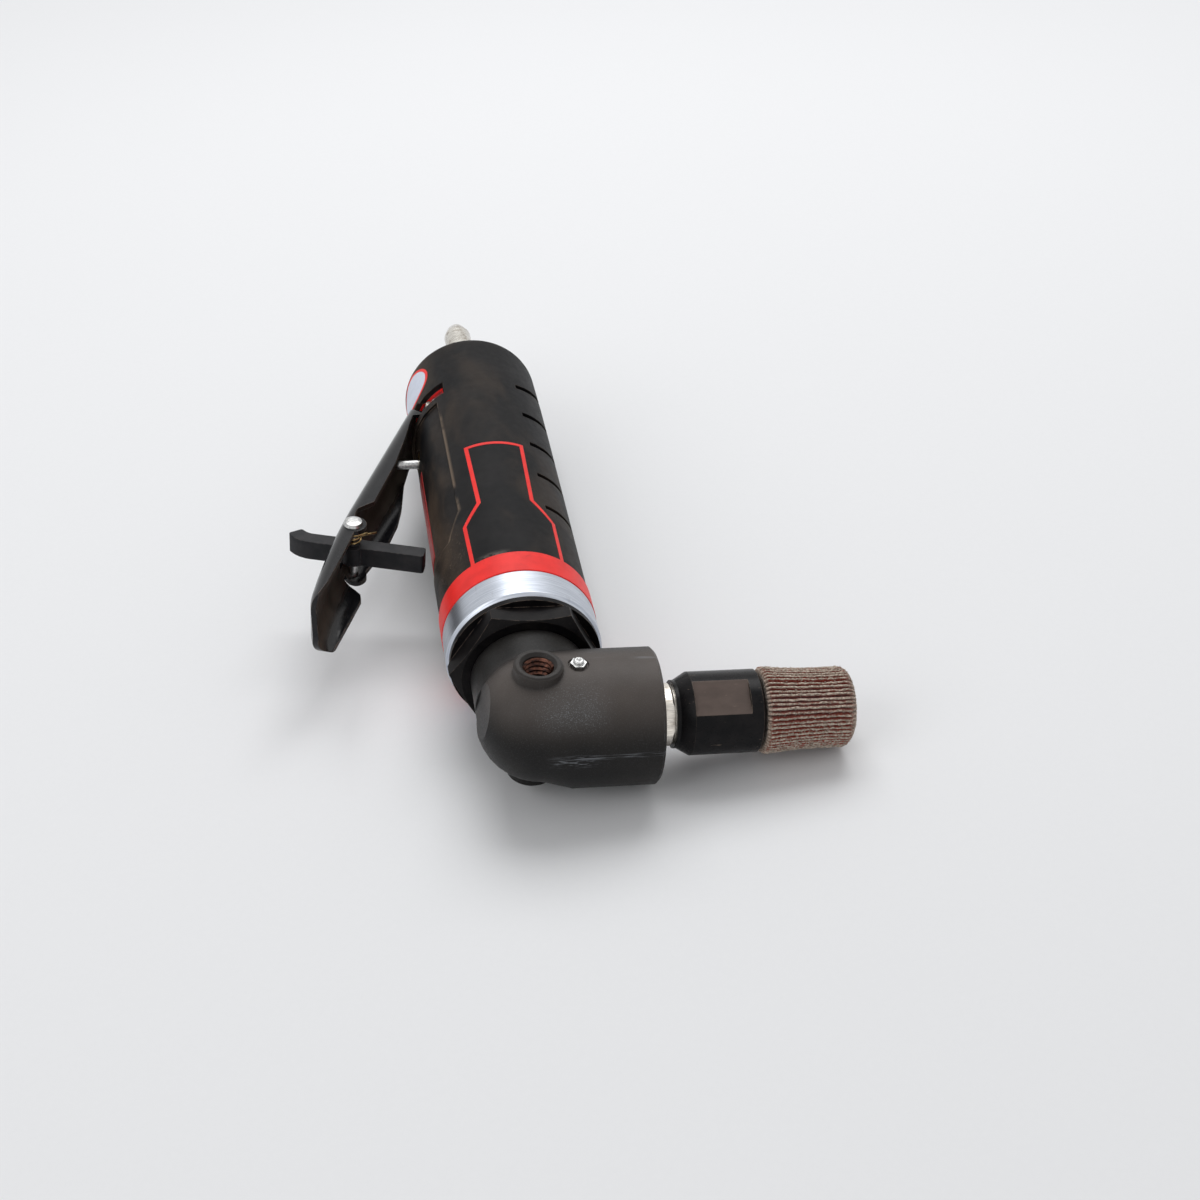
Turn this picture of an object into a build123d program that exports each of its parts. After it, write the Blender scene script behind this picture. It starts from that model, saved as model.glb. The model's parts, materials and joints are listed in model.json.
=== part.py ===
"""Right angle die grinder, in millimetres.

Each piece is drawn with the motor axis on Y (rear is +Y) and the spindle axis on X (output is +X).
The axes cross at the origin. The last step rolls the tool until it lies on the table and sets the
origin under the middle of its box.
"""
import math
import os

from build123d import *

# Clearances
BORE_GAP = 0.02
RUN_GAP = 0.05
FREE_GAP = 0.3
PLAY = 0.1
FAR = 200.0

# Handle, from the motor bore outwards
MOTOR_BORE_R = 14.6
HOUSING_WALL = 1.4
LINER_WALL = 0.7
GRIP_WALL = 1.45
HOUSING_R = MOTOR_BORE_R + HOUSING_WALL
LINER_R = HOUSING_R + LINER_WALL
BAND_R = LINER_R + GRIP_WALL
SLEEVE_R = BAND_R
RING_R = BAND_R - 0.15

# Angle head
HEAD_R = 15.25
HEAD_END = 25.7
HEAD_EDGE = 0.6
BARREL_START = 7.0
ELBOW_AT = (0.1, -1.0, 1.7)
ELBOW_R = 14.05
FACET_DEPTH = 12.6
FACET_LEAN = 10.0
FACET_REAR = 6.2
NECK_START = 3.0
NECK_SHOULDER = 15.3
NECK_END = 30.0
BOSS_AT = (-1.1, -1.5)
BOSS_R = 5.4
BOSS_TOP = 17.0
BOSS_FOOT = -13.4
BOSS_EDGE = 0.5
BOSS_HOLE_R = 3.4
BOSS_HOLE_DEPTH = 6.7
BOSS_MOUTH = 0.7
GREASE_AT = (7.9, 0.0)
GREASE_SINK = 0.45
GREASE_SEAT = HEAD_R - GREASE_SINK
GREASE_FLATS = 3.2
GREASE_HEX = 1.0
GREASE_NIPPLE_R = 1.15
GREASE_NIPPLE = 0.7
GREASE_NIPPLE_EDGE = 0.25
GREASE_RECESS_R = 2.3
GREASE_STEM_R = 1.3
GREASE_STEM = 2.6
GREASE_HOLE_END = 9.0

# Clamp nut and snap ring
NUT_FRONT = 15.6
NUT_HEX_END = 20.8
NUT_SEAT = 22.3
NUT_END = 27.2
NUT_THREAD_R = MOTOR_BORE_R + 1.0
NUT_FLATS = 2 * NUT_THREAD_R - 0.2
NUT_FACE_R = NUT_THREAD_R - 0.4
NUT_CORNER_R = RING_R - 0.1
NUT_FACE_SLOPE = 1.5
NUT_FLANGE_R = RING_R - 0.6
NUT_FLANGE_SLOPE = 0.6
NUT_WALL = 3.0
NECK_SHANK_R = NUT_THREAD_R - NUT_WALL
NECK_R = NECK_SHANK_R + 0.6
SNAP_WIDTH = 1.6
SNAP_FLOOR_R = NECK_SHANK_R - 0.9
SNAP_R = NUT_THREAD_R - 0.6
SNAP_OPENING = 5.0
NECK_WALL = 2.2
NECK_BORE_R = SNAP_FLOOR_R - NECK_WALL

# Bevel pair
MODULE = 1.2
PINION_TEETH = 12
GEAR_TEETH = 17
FACE = 3.8
ADDENDUM = 0.8 * MODULE
DEDENDUM = 1.0 * MODULE
PRESSURE = 20.0
BACKLASH = 0.12
TOOTH_OVERRUN = (0.3, 1.2)
PINION_R = MODULE * PINION_TEETH / 2
GEAR_R = MODULE * GEAR_TEETH / 2
CONE = math.hypot(PINION_R, GEAR_R)
GEAR_CHAMBER_R = 11.5
GEAR_CHAMBER_START = 3.4
GEAR_BACK = 1.4
GEAR_HUB_STEP = 0.6
PINION_CHAMBER_R = 8.8
PINION_CHAMBER_START = 5.6
PINION_BACK_STEP = 0.6
PINION_COLLAR = 0.6
PINION_COLLAR_R = 5.4

# Spindle, bearings and collet
SPINDLE_TAIL = -10.4
SPINDLE_TAIL_R = 3.0
SPINDLE_EDGE = 0.4
TAIL_BORE_GAP = 0.8
GEAR_SEAT_R = 4.0
GEAR_SEAT_START = 3.6
GEAR_HUB_END = 14.1
SPINDLE_BEARING = (14.2, 20.2)
BEARING_SEAT_R = 6.0
BEARING_R = 12.0
SPINDLE_R = 7.0
SPINDLE_FLATS = 12.0
SPINDLE_FLAT_TURN = 61.0
SPINDLE_FLAT_START = HEAD_END + 0.2
RETAINER = (20.3, 25.0)
RETAINER_R = 12.6
RETAINER_GAP = 0.4
RETAINER_RELIEF_R = 9.6
RETAINER_RELIEF = 0.5
SPANNER_HOLE_R = 1.0
SPANNER_HOLE = 2.0
SPANNER_HOLE_AT = 10.1
NEEDLE = (-10.6, -4.6)
NEEDLE_R = 5.0
NEEDLE_END_GAP = 0.2
THREAD_START = 29.4
THREAD_END = 44.0
THREAD_R = 6.6
THREAD_EDGE = 0.6
COLLET_R = 4.95
COLLET_START = 31.0
COLLET_CONE = 44.5
COLLET_NOSE = 47.6
COLLET_NOSE_R = 4.0
COLLET_SLITS = 3
COLLET_SLIT_HALF = 0.4
COLLET_SLIT_START = COLLET_START + 4.0
NOSE_GAP = 0.25
CONE_GAP = 0.2
SHANK_R = 3.175
SHANK_START = 33.0
COLLET_NUT = (29.7, 49.3)
COLLET_NUT_R = 9.32
COLLET_NUT_REAR_R = 7.6
COLLET_NUT_LIP = 0.8
COLLET_NUT_CONE = 3.7
COLLET_NUT_EDGE = 0.6
COLLET_NUT_FLATS = 16.8
COLLET_NUT_FLAT = (COLLET_NUT[0] + 3.8, 46.0)
COLLET_NUT_TURN = 28.0
SHIELD_DEPTH = 0.35

# Flap wheel
WHEEL = (49.7, 70.6)
WHEEL_R = 10.0
WHEEL_ROUND = 2.6
WHEEL_WAIST = 0.35
WHEEL_EDGE = 0.8
CORE_R = 4.6
CORE_RECESS = 2.5
FLAPS = 56
FLAP_DEPTH = 1.3
FLAP_SHARE = (0.25, 0.8)

# Motor
RING_END = 31.2
RING_CHAMFER = 0.8
HOUSING_END = 138.0
THREAD_BORE_END = 29.0
FRONT_PLATE = (30.0, 35.0)
REAR_PLATE = (73.0, 78.0)
PLATE_BEARING = 4.0
FRONT_BEARING_R = 8.0
REAR_BEARING_R = 6.5
FRONT_JOURNAL_R = 4.0
REAR_JOURNAL_R = 3.0
ROTOR_TAIL = 0.4
ROTOR_END_GAP = 0.1
CHAMBER_SHIFT = 1.2
CHAMBER_WALL = 2.0
CHAMBER_R = MOTOR_BORE_R - CHAMBER_SHIFT - CHAMBER_WALL
ROTOR_R = CHAMBER_R - CHAMBER_SHIFT - ROTOR_END_GAP
VANES = 5
VANE_THICK = 1.5
VANE_ROOT_R = 4.6
DOWEL_R = 1.0
DOWEL_Z = DOWEL_R + 1.0 - MOTOR_BORE_R
DOWEL_REACH = 1.8
DOWEL_HOLE = 2.0
LINER_PORTS = (45.0, 54.0, 63.0)
LINER_PORT_R = 1.6
SPLINE_R = 2.6
SPLINE_START = 21.0
SPLINE_END = 28.0
PINION_BEARING = (14.0, 20.0)
PINION_SHAFT_R = 4.0
PINION_SHAFT_END = 27.6
CIRCLIP = 1.2
CIRCLIP_DEPTH = 0.6
CIRCLIP_WIDTH = 1.5
CIRCLIP_OPENING = 4.0
WASHER_END = 79.3
WASHER_R = (4.8, 5.6, 6.6)
WASHER_THICK = 0.5
WASHER_BORE_GAP = 0.5

# Throttle valve, across the housing
VALVE_Y = 105.4
STEM_R = 1.2
STEM_GAP = 0.15
BUSH_R = 3.55
BUSH = (-HOUSING_R - 1.0, -9.0)
PORT_R = 3.2
SEAT_X = -3.0
SEAT_THICK = 1.0
SEAT_LIP = 0.6
VALVE_BORE_R = 4.6
POPPET_R = 3.9
POPPET_THICK = 2.2
TAIL_R = 1.5
TAIL_END = 4.0
VALVE_PLUG = (HOUSING_R - 4.5, HOUSING_R - 0.8)
KEY_R = 2.5
KEY_DEPTH = 2.0
VALVE_COIL_R = 3.0
VALVE_WIRE_R = 0.45
VALVE_TURNS = 4
FEED_R = 2.0
FEED_X = -6.0
FEED_STEP = 4.0
INLET_PORT_R = 3.4
INLET_PORT_X = 3.0

# Rear end
INLET_THREAD_R = 8.2
INLET_THREAD = 9.8
INLET_FLOOR = HOUSING_END - INLET_THREAD
INLET_BORE_R = 5.0
INLET_NECK_R = 8.9
INLET_NECK = 5.2
INLET_FLATS = 19.0
INLET_CORNER_R = 10.6
INLET_FACE_R = 9.4
INLET_FACE_SLOPE = 0.9
INLET_HEIGHT = 6.4
INLET_HEX = (HOUSING_END + INLET_NECK, HOUSING_END + INLET_NECK + INLET_HEIGHT)
PLUG_THREAD_R = 6.6
PLUG_SOCKET = HOUSING_END + 1.0
PLUG_END_GAP = 0.5
SCREEN_WALL = 0.5
SCREEN_END = PLUG_SOCKET - 3.0
PLUG_FLATS = 14.3
PLUG_HEX = 5.9
PLUG_HEX_END = INLET_HEX[1] + PLUG_HEX
PLUG_NECK_R = 4.6
PLUG_NECK = 4.0
PLUG_NECK_SLOPE = 0.8
PLUG_COLLAR_R = 5.9
PLUG_COLLAR_WIDTH = 3.0
PLUG_COLLAR = (PLUG_HEX_END + PLUG_NECK, PLUG_HEX_END + PLUG_NECK + PLUG_COLLAR_WIDTH)
PLUG_COLLAR_SLOPE = 1.4
PLUG_NOSE_R = 3.8
PLUG_NOSE = 15.0
PLUG_NOSE_END = PLUG_COLLAR[1] + PLUG_NOSE
PLUG_TIP_R = 2.7
PLUG_TIP_LENGTH = 3.5
PLUG_BORE_R = 2.2
FELT = 3.8
FELT_R = (9.7, HOUSING_R - 1.2)
VENT_R = 2.2
VENT_AT = (6.0, HOUSING_R - 4.6)
EXHAUST_R = (9.2, 11.3)
EXHAUST_END = HOUSING_END + 4.8
EXHAUST_SLOTS = 12
EXHAUST_SLOT_R = 10.2
EXHAUST_SLOT_HALF = 0.9

# Grip
BAND_END = 38.9
BAND_FRONT_EDGE = 0.3
BAND_REAR_EDGE = 0.2
LINER_END = HOUSING_END - 0.4
SLEEVE_FRONT_R = SLEEVE_R - 0.35
SLEEVE_FRONT_EDGE = 0.3
SLEEVE_FULL = (108.0, 123.0)
SLEEVE_REAR_R = SLEEVE_R - 0.15
SLEEVE_END = HOUSING_END + 4.6
SLEEVE_ROUND = 4.0
SLEEVE_LIP_R = 11.5
SLEEVE_LIP = HOUSING_END + 0.2
GROOVE_WIDTH = 1.5
GROOVE_DEPTH = 1.15
GROOVE_START_X = 9.3
GROOVES = 5
GROOVE_FIRST = 61.1
GROOVE_STEP = 14.4
GROOVE_TILT = 17.0
GROOVE_TILT_STEP = 5.5
GROOVE_TILT_Z = 15.0
PANEL = (54.2, 114.0)
PANEL_CORNER = 62.6
PANEL_HALF_Z = 13.6
PANEL_FRONT_HALF_Z = 10.1
PANEL_DEPTH = 0.65
STRIP = (58.7, 97.0)
STRIP_HALF_Z = 3.0
STRIP_DEPTH = 0.55
SLOT = (116.4, 121.7)
SLOT_DEPTH = 8.35
SLOT_X = SLOT_DEPTH - SLEEVE_R
SLOT_LEDGE = 1.6
POCKET_EXTRA = 1.1
POCKET_END = SLOT[1] + POCKET_EXTRA

# Lever
PIVOT_DEPTH = 5.35
PIVOT = (PIVOT_DEPTH - SLEEVE_R, 119.75)
PIN_R = 1.45
PIN_HALF = 9.9
EAR_R = 2.6
POCKET_HALF_Z = 8.7
LEVER_HALF = 8.2
LEVER_SHEET = 1.2
LEVER_TOP_ROUND = 3.2
LEVER_LOW_ROUND = 6.0
LEVER_ANGLE = 21.46
LEVER_OFFSET = 6.2
LEVER_TAIL = 0.5
LEVER_DEEP = 16.0
LEVER_STRAIGHT = 48.5
LEVER_BOW = 250.0
LEVER_BOW_TURN = 8.5
SPOON_BOW = 20.0
SPOON_TURN = 50.0
FRONT_ANGLE = 15.77
FRONT_AT = (PIVOT[0] - 24.0, PIVOT[1] - 43.05)
SPOON_EDGE = [(38.4, 8.2), (42.6, 4.4), (44.4, -0.4), (42.8, -5.2), (38.6, -8.2)]
UPPER_REAR = [(3.2, 4.8), (4.4, 2.5), (8.0, 2.8), (15.7, 3.9), (29.1, 5.2), (47.3, 5.5), (51.5, 2.6)]
UPPER_FRONT = [(5.0, 2.6), (13.4, 4.1), (24.7, 3.4), (34.1, 2.6), (39.0, 1.5), (41.5, 1.7),
               (44.2, 2.8), (46.0, 3.9)]
LOWER_REAR = [(3.2, 4.8), (4.4, 2.5), (8.0, 2.7), (15.0, 3.5), (26.0, 6.2), (33.3, 7.4), (42.0, 7.7)]
LOWER_FRONT = [(5.5, 6.3), (11.4, 5.0), (12.6, 1.6), (14.0, 1.5), (15.8, 4.9), (17.4, 6.6), (19.4, 7.2),
               (28.2, 6.4), (38.1, 5.4), (46.0, 4.4)]

# Lock-off tab
TAB_AT = (9.8, 3.2)
TAB_HALF_Z = 2.5
TAB_HALF = 1.9
TAB_INNER = 17.6
TAB_OUTER = 10.3
TAB_CURL_R = 6.0
TAB_CURL_TURN = 50.0
TAB_HUB_R = 2.9
TAB_WINDOW = (-1.0, 13.2)
TAB_WINDOW_HALF_Z = 3.2
TAB_WINDOW_DEPTH = (-6.0, 3.0)
TAB_ROUND = 0.7
RIVET_R = 1.2
RIVET_EAR_R = 3.2
RIVET_HEAD_R = 2.4
RIVET_HEAD = 1.2
RIVET_HEAD_EDGE = 0.3
RIVET_CROWN_R = 1.2
RIVET_FOOT = 0.8
RIVET_FOOT_R = (1.7, 1.9)
SPRING_R = 1.74
SPRING_WIRE_R = 0.28
SPRING_PITCH = 1.15
SPRING_TURNS = 2.5
SPRING_LEG = 6.5
SPRING_LEG_ANGLE = 32.0

ALONG_Y = Rot(-90, 0, 0)
ALONG_X = Rot(0, 90, 0)


def turned_y(points):
    """Solid turned about Y from (radius, y) points."""
    face = make_face(Polyline([(r, y) for r, y in points], close=True))
    return revolve(face, Axis.Y)


def turned_x(points):
    """Solid turned about X from (x, radius) points."""
    face = make_face(Polyline(points, close=True))
    return revolve(face, Axis.X)


def rod_y(radius, start, end, x=0, z=0):
    return Pos(x, (start + end) / 2, z) * ALONG_Y * Cylinder(radius, end - start)


def rod_x(radius, start, end, y=0, z=0):
    return Pos((start + end) / 2, y, z) * ALONG_X * Cylinder(radius, end - start)


def rod_z(radius, start, end, x=0, y=0):
    return Pos(x, y, (start + end) / 2) * Cylinder(radius, end - start)


def block(x, y, z):
    """Box between the (low, high) pairs x, y and z."""
    centre = [(low + high) / 2 for low, high in (x, y, z)]
    return Pos(*centre) * Box(x[1] - x[0], y[1] - y[0], z[1] - z[0])


def hex_y(flats, start, end):
    face = RegularPolygon(flats / 2, 6, major_radius=False)
    return Pos(0, start, 0) * Rot(-90, 0, 0) * extrude(face, end - start)


def ring_bearing(bore, outer, start, end):
    """Shielded bearing about Y: two ring lands with the shields set back."""
    wall = outer - bore
    inner = bore + 0.3 * wall
    land = outer - 0.25 * wall
    return turned_y([
        (bore, start), (inner, start), (inner, start + SHIELD_DEPTH), (land, start + SHIELD_DEPTH),
        (land, start), (outer, start), (outer, end), (land, end), (land, end - SHIELD_DEPTH),
        (inner, end - SHIELD_DEPTH), (inner, end), (bore, end)])


def bearing_x(bore, outer, span):
    return Rot(0, 0, -90) * ring_bearing(bore, outer, span[0], span[1])


def plan(points):
    return make_face(Polyline(points, close=True))


def wound(points, tangents, radius):
    """Round wire through points, each pair joined by two arcs that share their tangent."""
    arcs = []
    for start, end, leave, arrive in zip(points, points[1:], tangents, tangents[1:]):
        chord = end - start
        turn = leave + arrive
        square = 2 * (1 - leave.dot(arrive))
        if square < 1e-9:
            arcs.append(Line(start, end))
            continue
        half = chord.dot(turn)
        reach = (-half + math.sqrt(half * half + square * chord.dot(chord))) / square
        joint = (start + leave * reach + end - arrive * reach) * 0.5
        arcs.append(TangentArc(start, joint, tangent=leave))
        arcs.append(TangentArc(joint, end, tangent=(end - arrive * reach - joint).normalized()))
    path = Wire([edge for arc in arcs for edge in arc.edges()])
    section = Plane(origin=points[0], z_dir=tangents[0]) * Circle(radius)
    return sweep(section, path=path)


# Angle head

def head_blank():
    """Barrel, elbow and neck, with the flat facet on the side away from the spindle nose."""
    start = BARREL_START
    barrel = turned_x([(start, 0), (start, HEAD_R), (HEAD_END - HEAD_EDGE, HEAD_R),
                       (HEAD_END, HEAD_R - HEAD_EDGE), (HEAD_END, 0)])
    elbow_ring = Plane(origin=ELBOW_AT, z_dir=(1, 0, 0)) * Circle(ELBOW_R)
    barrel_ring = Plane(origin=(start, 0, 0), z_dir=(1, 0, 0)) * Circle(HEAD_R)
    blend = loft([elbow_ring, barrel_ring], ruled=True)
    elbow = Pos(*ELBOW_AT) * Rot(0, 90, 0) * Sphere(ELBOW_R)
    blank = elbow + blend + barrel + rod_y(NECK_R, NECK_START, NECK_SHOULDER)
    facet = block((-FACET_DEPTH - FAR, -FACET_DEPTH), (-FAR, FACET_REAR), (-FAR, FAR))
    blank -= Pos(*ELBOW_AT) * Rot(0, FACET_LEAN, 0) * facet
    return blank + rod_y(NECK_SHANK_R, NECK_START, NECK_END)


def boss_cutter():
    mouth_r = BOSS_HOLE_R + BOSS_MOUTH
    hole = rod_z(BOSS_HOLE_R, -BOSS_HOLE_DEPTH, 0)
    mouth = Pos(0, 0, -BOSS_MOUTH / 2) * Cone(BOSS_HOLE_R, mouth_r, BOSS_MOUTH)
    return hole + mouth


def make_angle_head():
    head = head_blank()
    boss = rod_z(BOSS_R, BOSS_FOOT, BOSS_TOP, *BOSS_AT)
    head += chamfer(boss.edges().filter_by(GeomType.CIRCLE), BOSS_EDGE)
    gear_space = rod_x(GEAR_CHAMBER_R, GEAR_CHAMBER_START, SPINDLE_BEARING[0])
    head -= gear_space + rod_x(BEARING_R + BORE_GAP, SPINDLE_BEARING[0], RETAINER[0])
    head -= rod_x(RETAINER_R + RUN_GAP, RETAINER[0], HEAD_END + 1)
    head -= rod_x(SPINDLE_TAIL_R + TAIL_BORE_GAP, SPINDLE_TAIL - SPINDLE_EDGE, GEAR_CHAMBER_START + 1)
    head -= rod_x(NEEDLE_R + BORE_GAP, NEEDLE[0] - NEEDLE_END_GAP, NEEDLE[1])
    head -= rod_y(PINION_CHAMBER_R, PINION_CHAMBER_START, PINION_BEARING[0])
    head -= rod_y(NECK_BORE_R, PINION_BEARING[0], NECK_END + 1)
    head -= rod_y(NECK_BORE_R + CIRCLIP_DEPTH + RUN_GAP, PINION_BEARING[1], PINION_BEARING[1] + CIRCLIP)
    head -= (rod_y(NECK_SHANK_R + 1, NUT_END, NUT_END + SNAP_WIDTH)
             - rod_y(SNAP_FLOOR_R - RUN_GAP, NUT_SEAT, NECK_END))
    head -= Pos(*BOSS_AT, BOSS_TOP) * boss_cutter()
    head -= Pos(*BOSS_AT, BOSS_FOOT) * Rot(180, 0, 0) * boss_cutter()
    head -= rod_z(GREASE_STEM_R + BORE_GAP, GREASE_HOLE_END, GREASE_SEAT, *GREASE_AT)
    head -= rod_z(GREASE_RECESS_R, GREASE_SEAT, HEAD_R + 1, *GREASE_AT)
    return head


def make_grease_fitting():
    """Stem, hexagon and round nipple with a ball set in its tip."""
    top = GREASE_HEX + GREASE_NIPPLE
    ball_r = 0.5 * GREASE_NIPPLE_R
    fitting = rod_z(GREASE_STEM_R, -GREASE_STEM, GREASE_HEX / 2)
    fitting += extrude(RegularPolygon(GREASE_FLATS / 2, 6, major_radius=False), GREASE_HEX)
    nipple = rod_z(GREASE_NIPPLE_R, GREASE_HEX / 2, top)
    fitting += chamfer(nipple.edges().filter_by(GeomType.CIRCLE).sort_by(Axis.Z)[-1:], GREASE_NIPPLE_EDGE)
    fitting += Pos(0, 0, top - 0.3 * ball_r) * Sphere(ball_r)
    return Pos(*GREASE_AT, GREASE_SEAT) * fitting


def make_clamp_nut():
    envelope = turned_y([(0, NUT_FRONT), (NUT_FACE_R, NUT_FRONT), (NUT_CORNER_R, NUT_FRONT + NUT_FACE_SLOPE),
                         (NUT_CORNER_R, NUT_HEX_END - NUT_FLANGE_SLOPE), (NUT_FLANGE_R, NUT_HEX_END),
                         (0, NUT_HEX_END)])
    nut = hex_y(NUT_FLATS, NUT_FRONT, NUT_HEX_END) & envelope
    nut += rod_y(NUT_FLANGE_R, NUT_HEX_END, NUT_SEAT)
    nut += rod_y(NUT_THREAD_R, NUT_SEAT, NUT_END - RUN_GAP)
    return nut - rod_y(NECK_SHANK_R + RUN_GAP, 0, FAR)


def split_ring(inner, outer, start, end, gap):
    ring = rod_y(outer, start, end) - rod_y(inner, start - 1, end + 1)
    return ring - block((-gap / 2, gap / 2), (start - 1, end + 1), (-outer - 1, 0))


def make_neck_snap_ring():
    return split_ring(SNAP_FLOOR_R, SNAP_R, NUT_END, NUT_END + SNAP_WIDTH - RUN_GAP, SNAP_OPENING)


# Bevel pair

def involute_gap(pitch_r):
    """Gap between two teeth of the flat gear on the back cone, as (height, half width) points."""
    base = pitch_r * math.cos(math.radians(PRESSURE))
    spread = math.tan(math.radians(PRESSURE)) - math.radians(PRESSURE)
    half_gap = (math.pi * MODULE / 2 + BACKLASH) / 2 / pitch_r
    points = []
    for height in (ADDENDUM + TOOTH_OVERRUN[0], 0.5 * ADDENDUM, 0, -0.5 * DEDENDUM, -DEDENDUM):
        radius = max(pitch_r + height, base)
        angle = math.acos(base / radius)
        half = half_gap + math.tan(angle) - angle - spread
        reach = pitch_r + height
        points.append((reach * math.cos(half) - pitch_r, reach * math.sin(half)))
    return points


def gap_cutter(pitch_angle, pitch_r):
    """Tapering cutter about +X with its point at the origin, cutting on the +Y side."""
    lean = math.radians(pitch_angle)
    flank = involute_gap(pitch_r / math.cos(lean))
    across = [(height, half) for height, half in flank] + [(height, -half) for height, half in flank[::-1]]
    along = Vector(math.cos(lean), math.sin(lean), 0)
    up = Vector(-math.sin(lean), math.cos(lean), 0)
    side = Vector(0, 0, 1)
    faces = []
    for scale in ((CONE - FACE - TOOTH_OVERRUN[1]) / CONE, (CONE + TOOTH_OVERRUN[1]) / CONE):
        corners = [(along * CONE + up * height + side * half) * scale for height, half in across]
        faces.append(Wire.make_polygon(corners))
    return Solid.make_loft(faces, ruled=True)


def bevel_points(pitch_angle, pitch_r):
    """Inner tip, outer tip and outer root of the teeth as (distance along axis, radius)."""
    lean = math.radians(pitch_angle)
    depth = pitch_r / math.tan(lean)
    tip = (depth - ADDENDUM * math.sin(lean), pitch_r + ADDENDUM * math.cos(lean))
    root = (depth + DEDENDUM * math.sin(lean), pitch_r - DEDENDUM * math.cos(lean))
    inner = (CONE - FACE) / CONE
    return (tip[0] * inner, tip[1] * inner), tip, root


def cut_teeth(blank, pitch_angle, pitch_r, teeth, phase):
    cutter = gap_cutter(pitch_angle, pitch_r)
    for index in range(teeth):
        blank -= Rot(phase + index * 360 / teeth, 0, 0) * cutter
    return blank


def make_spindle_gear():
    angle = math.degrees(math.atan2(GEAR_R, PINION_R))
    inner, tip, root = bevel_points(angle, GEAR_R)
    hub_r = BEARING_SEAT_R + GEAR_HUB_STEP
    back = root[0] + GEAR_BACK
    blank = turned_x([(inner[0], GEAR_SEAT_R + BORE_GAP), inner, tip, root, (back, root[1]), (back, hub_r),
                      (GEAR_HUB_END, hub_r), (GEAR_HUB_END, GEAR_SEAT_R + BORE_GAP)])
    return cut_teeth(blank, angle, GEAR_R, GEAR_TEETH, 0)


def make_bevel_pinion():
    angle = math.degrees(math.atan2(PINION_R, GEAR_R))
    inner, tip, root = bevel_points(angle, PINION_R)
    collar = PINION_BEARING[0] - PINION_COLLAR
    blank = turned_x([(inner[0], 0), inner, tip, root, (collar, root[1] - PINION_BACK_STEP),
                      (collar, PINION_COLLAR_R), (PINION_BEARING[0], PINION_COLLAR_R),
                      (PINION_BEARING[0], PINION_SHAFT_R), (PINION_SHAFT_END, PINION_SHAFT_R),
                      (PINION_SHAFT_END, 0)])
    blank -= rod_x(SPLINE_R + RUN_GAP, SPLINE_START - FREE_GAP, PINION_SHAFT_END + 1)
    toothed = cut_teeth(blank, angle, PINION_R, PINION_TEETH, 180 / PINION_TEETH)
    return Rot(0, 0, 90) * Rot(-90, 0, 0) * toothed


def make_pinion_bearing():
    return ring_bearing(PINION_SHAFT_R + BORE_GAP, NECK_BORE_R - BORE_GAP, *PINION_BEARING)


def make_pinion_circlip():
    start = PINION_BEARING[1]
    return split_ring(NECK_BORE_R - CIRCLIP_WIDTH, NECK_BORE_R + CIRCLIP_DEPTH, start,
                      start + CIRCLIP - RUN_GAP, CIRCLIP_OPENING)


# Spindle and tool

def make_spindle():
    shaft = turned_x([
        (SPINDLE_TAIL, 0), (SPINDLE_TAIL, SPINDLE_TAIL_R - SPINDLE_EDGE),
        (SPINDLE_TAIL + SPINDLE_EDGE, SPINDLE_TAIL_R), (GEAR_SEAT_START, SPINDLE_TAIL_R),
        (GEAR_SEAT_START, GEAR_SEAT_R), (GEAR_HUB_END, GEAR_SEAT_R),
        (GEAR_HUB_END, BEARING_SEAT_R), (SPINDLE_BEARING[1], BEARING_SEAT_R),
        (SPINDLE_BEARING[1], SPINDLE_R), (THREAD_START - SPINDLE_EDGE, SPINDLE_R),
        (THREAD_START, THREAD_R), (THREAD_END - THREAD_EDGE, THREAD_R),
        (THREAD_END, THREAD_R - THREAD_EDGE), (THREAD_END, 0)])
    shaft -= rod_x(COLLET_R + RUN_GAP, COLLET_START - FREE_GAP, THREAD_END + 1)
    half = SPINDLE_FLATS / 2
    for turn in (SPINDLE_FLAT_TURN, SPINDLE_FLAT_TURN + 180):
        flat = block((SPINDLE_FLAT_START, THREAD_START), (-FAR, FAR), (half, FAR))
        shaft -= Rot(turn, 0, 0) * flat
    return shaft


def make_spindle_bearing():
    return bearing_x(BEARING_SEAT_R + BORE_GAP, BEARING_R, SPINDLE_BEARING)


def make_spindle_needle_bearing():
    return rod_x(NEEDLE_R, *NEEDLE) - rod_x(SPINDLE_TAIL_R + BORE_GAP, NEEDLE[0] - 1, NEEDLE[1] + 1)


def make_bearing_retainer():
    ring = rod_x(RETAINER_R, *RETAINER) - rod_x(SPINDLE_R + RETAINER_GAP, RETAINER[0] - 1, RETAINER[1] + 1)
    ring -= rod_x(RETAINER_RELIEF_R, RETAINER[0] - 1, RETAINER[0] + RETAINER_RELIEF)
    for side in (1, -1):
        ring -= rod_x(SPANNER_HOLE_R, RETAINER[1] - SPANNER_HOLE, RETAINER[1] + 1, y=side * SPANNER_HOLE_AT)
    return ring


def make_collet():
    body = turned_x([(COLLET_START, SHANK_R + BORE_GAP), (COLLET_START, COLLET_R), (COLLET_CONE, COLLET_R),
                     (COLLET_NOSE, COLLET_NOSE_R), (COLLET_NOSE, SHANK_R + BORE_GAP)])
    slit = block((COLLET_SLIT_START, COLLET_NOSE + 1), (0, COLLET_R + 1),
                 (-COLLET_SLIT_HALF, COLLET_SLIT_HALF))
    for index in range(COLLET_SLITS):
        body -= Rot(index * 360 / COLLET_SLITS, 0, 0) * slit
    return body


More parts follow.
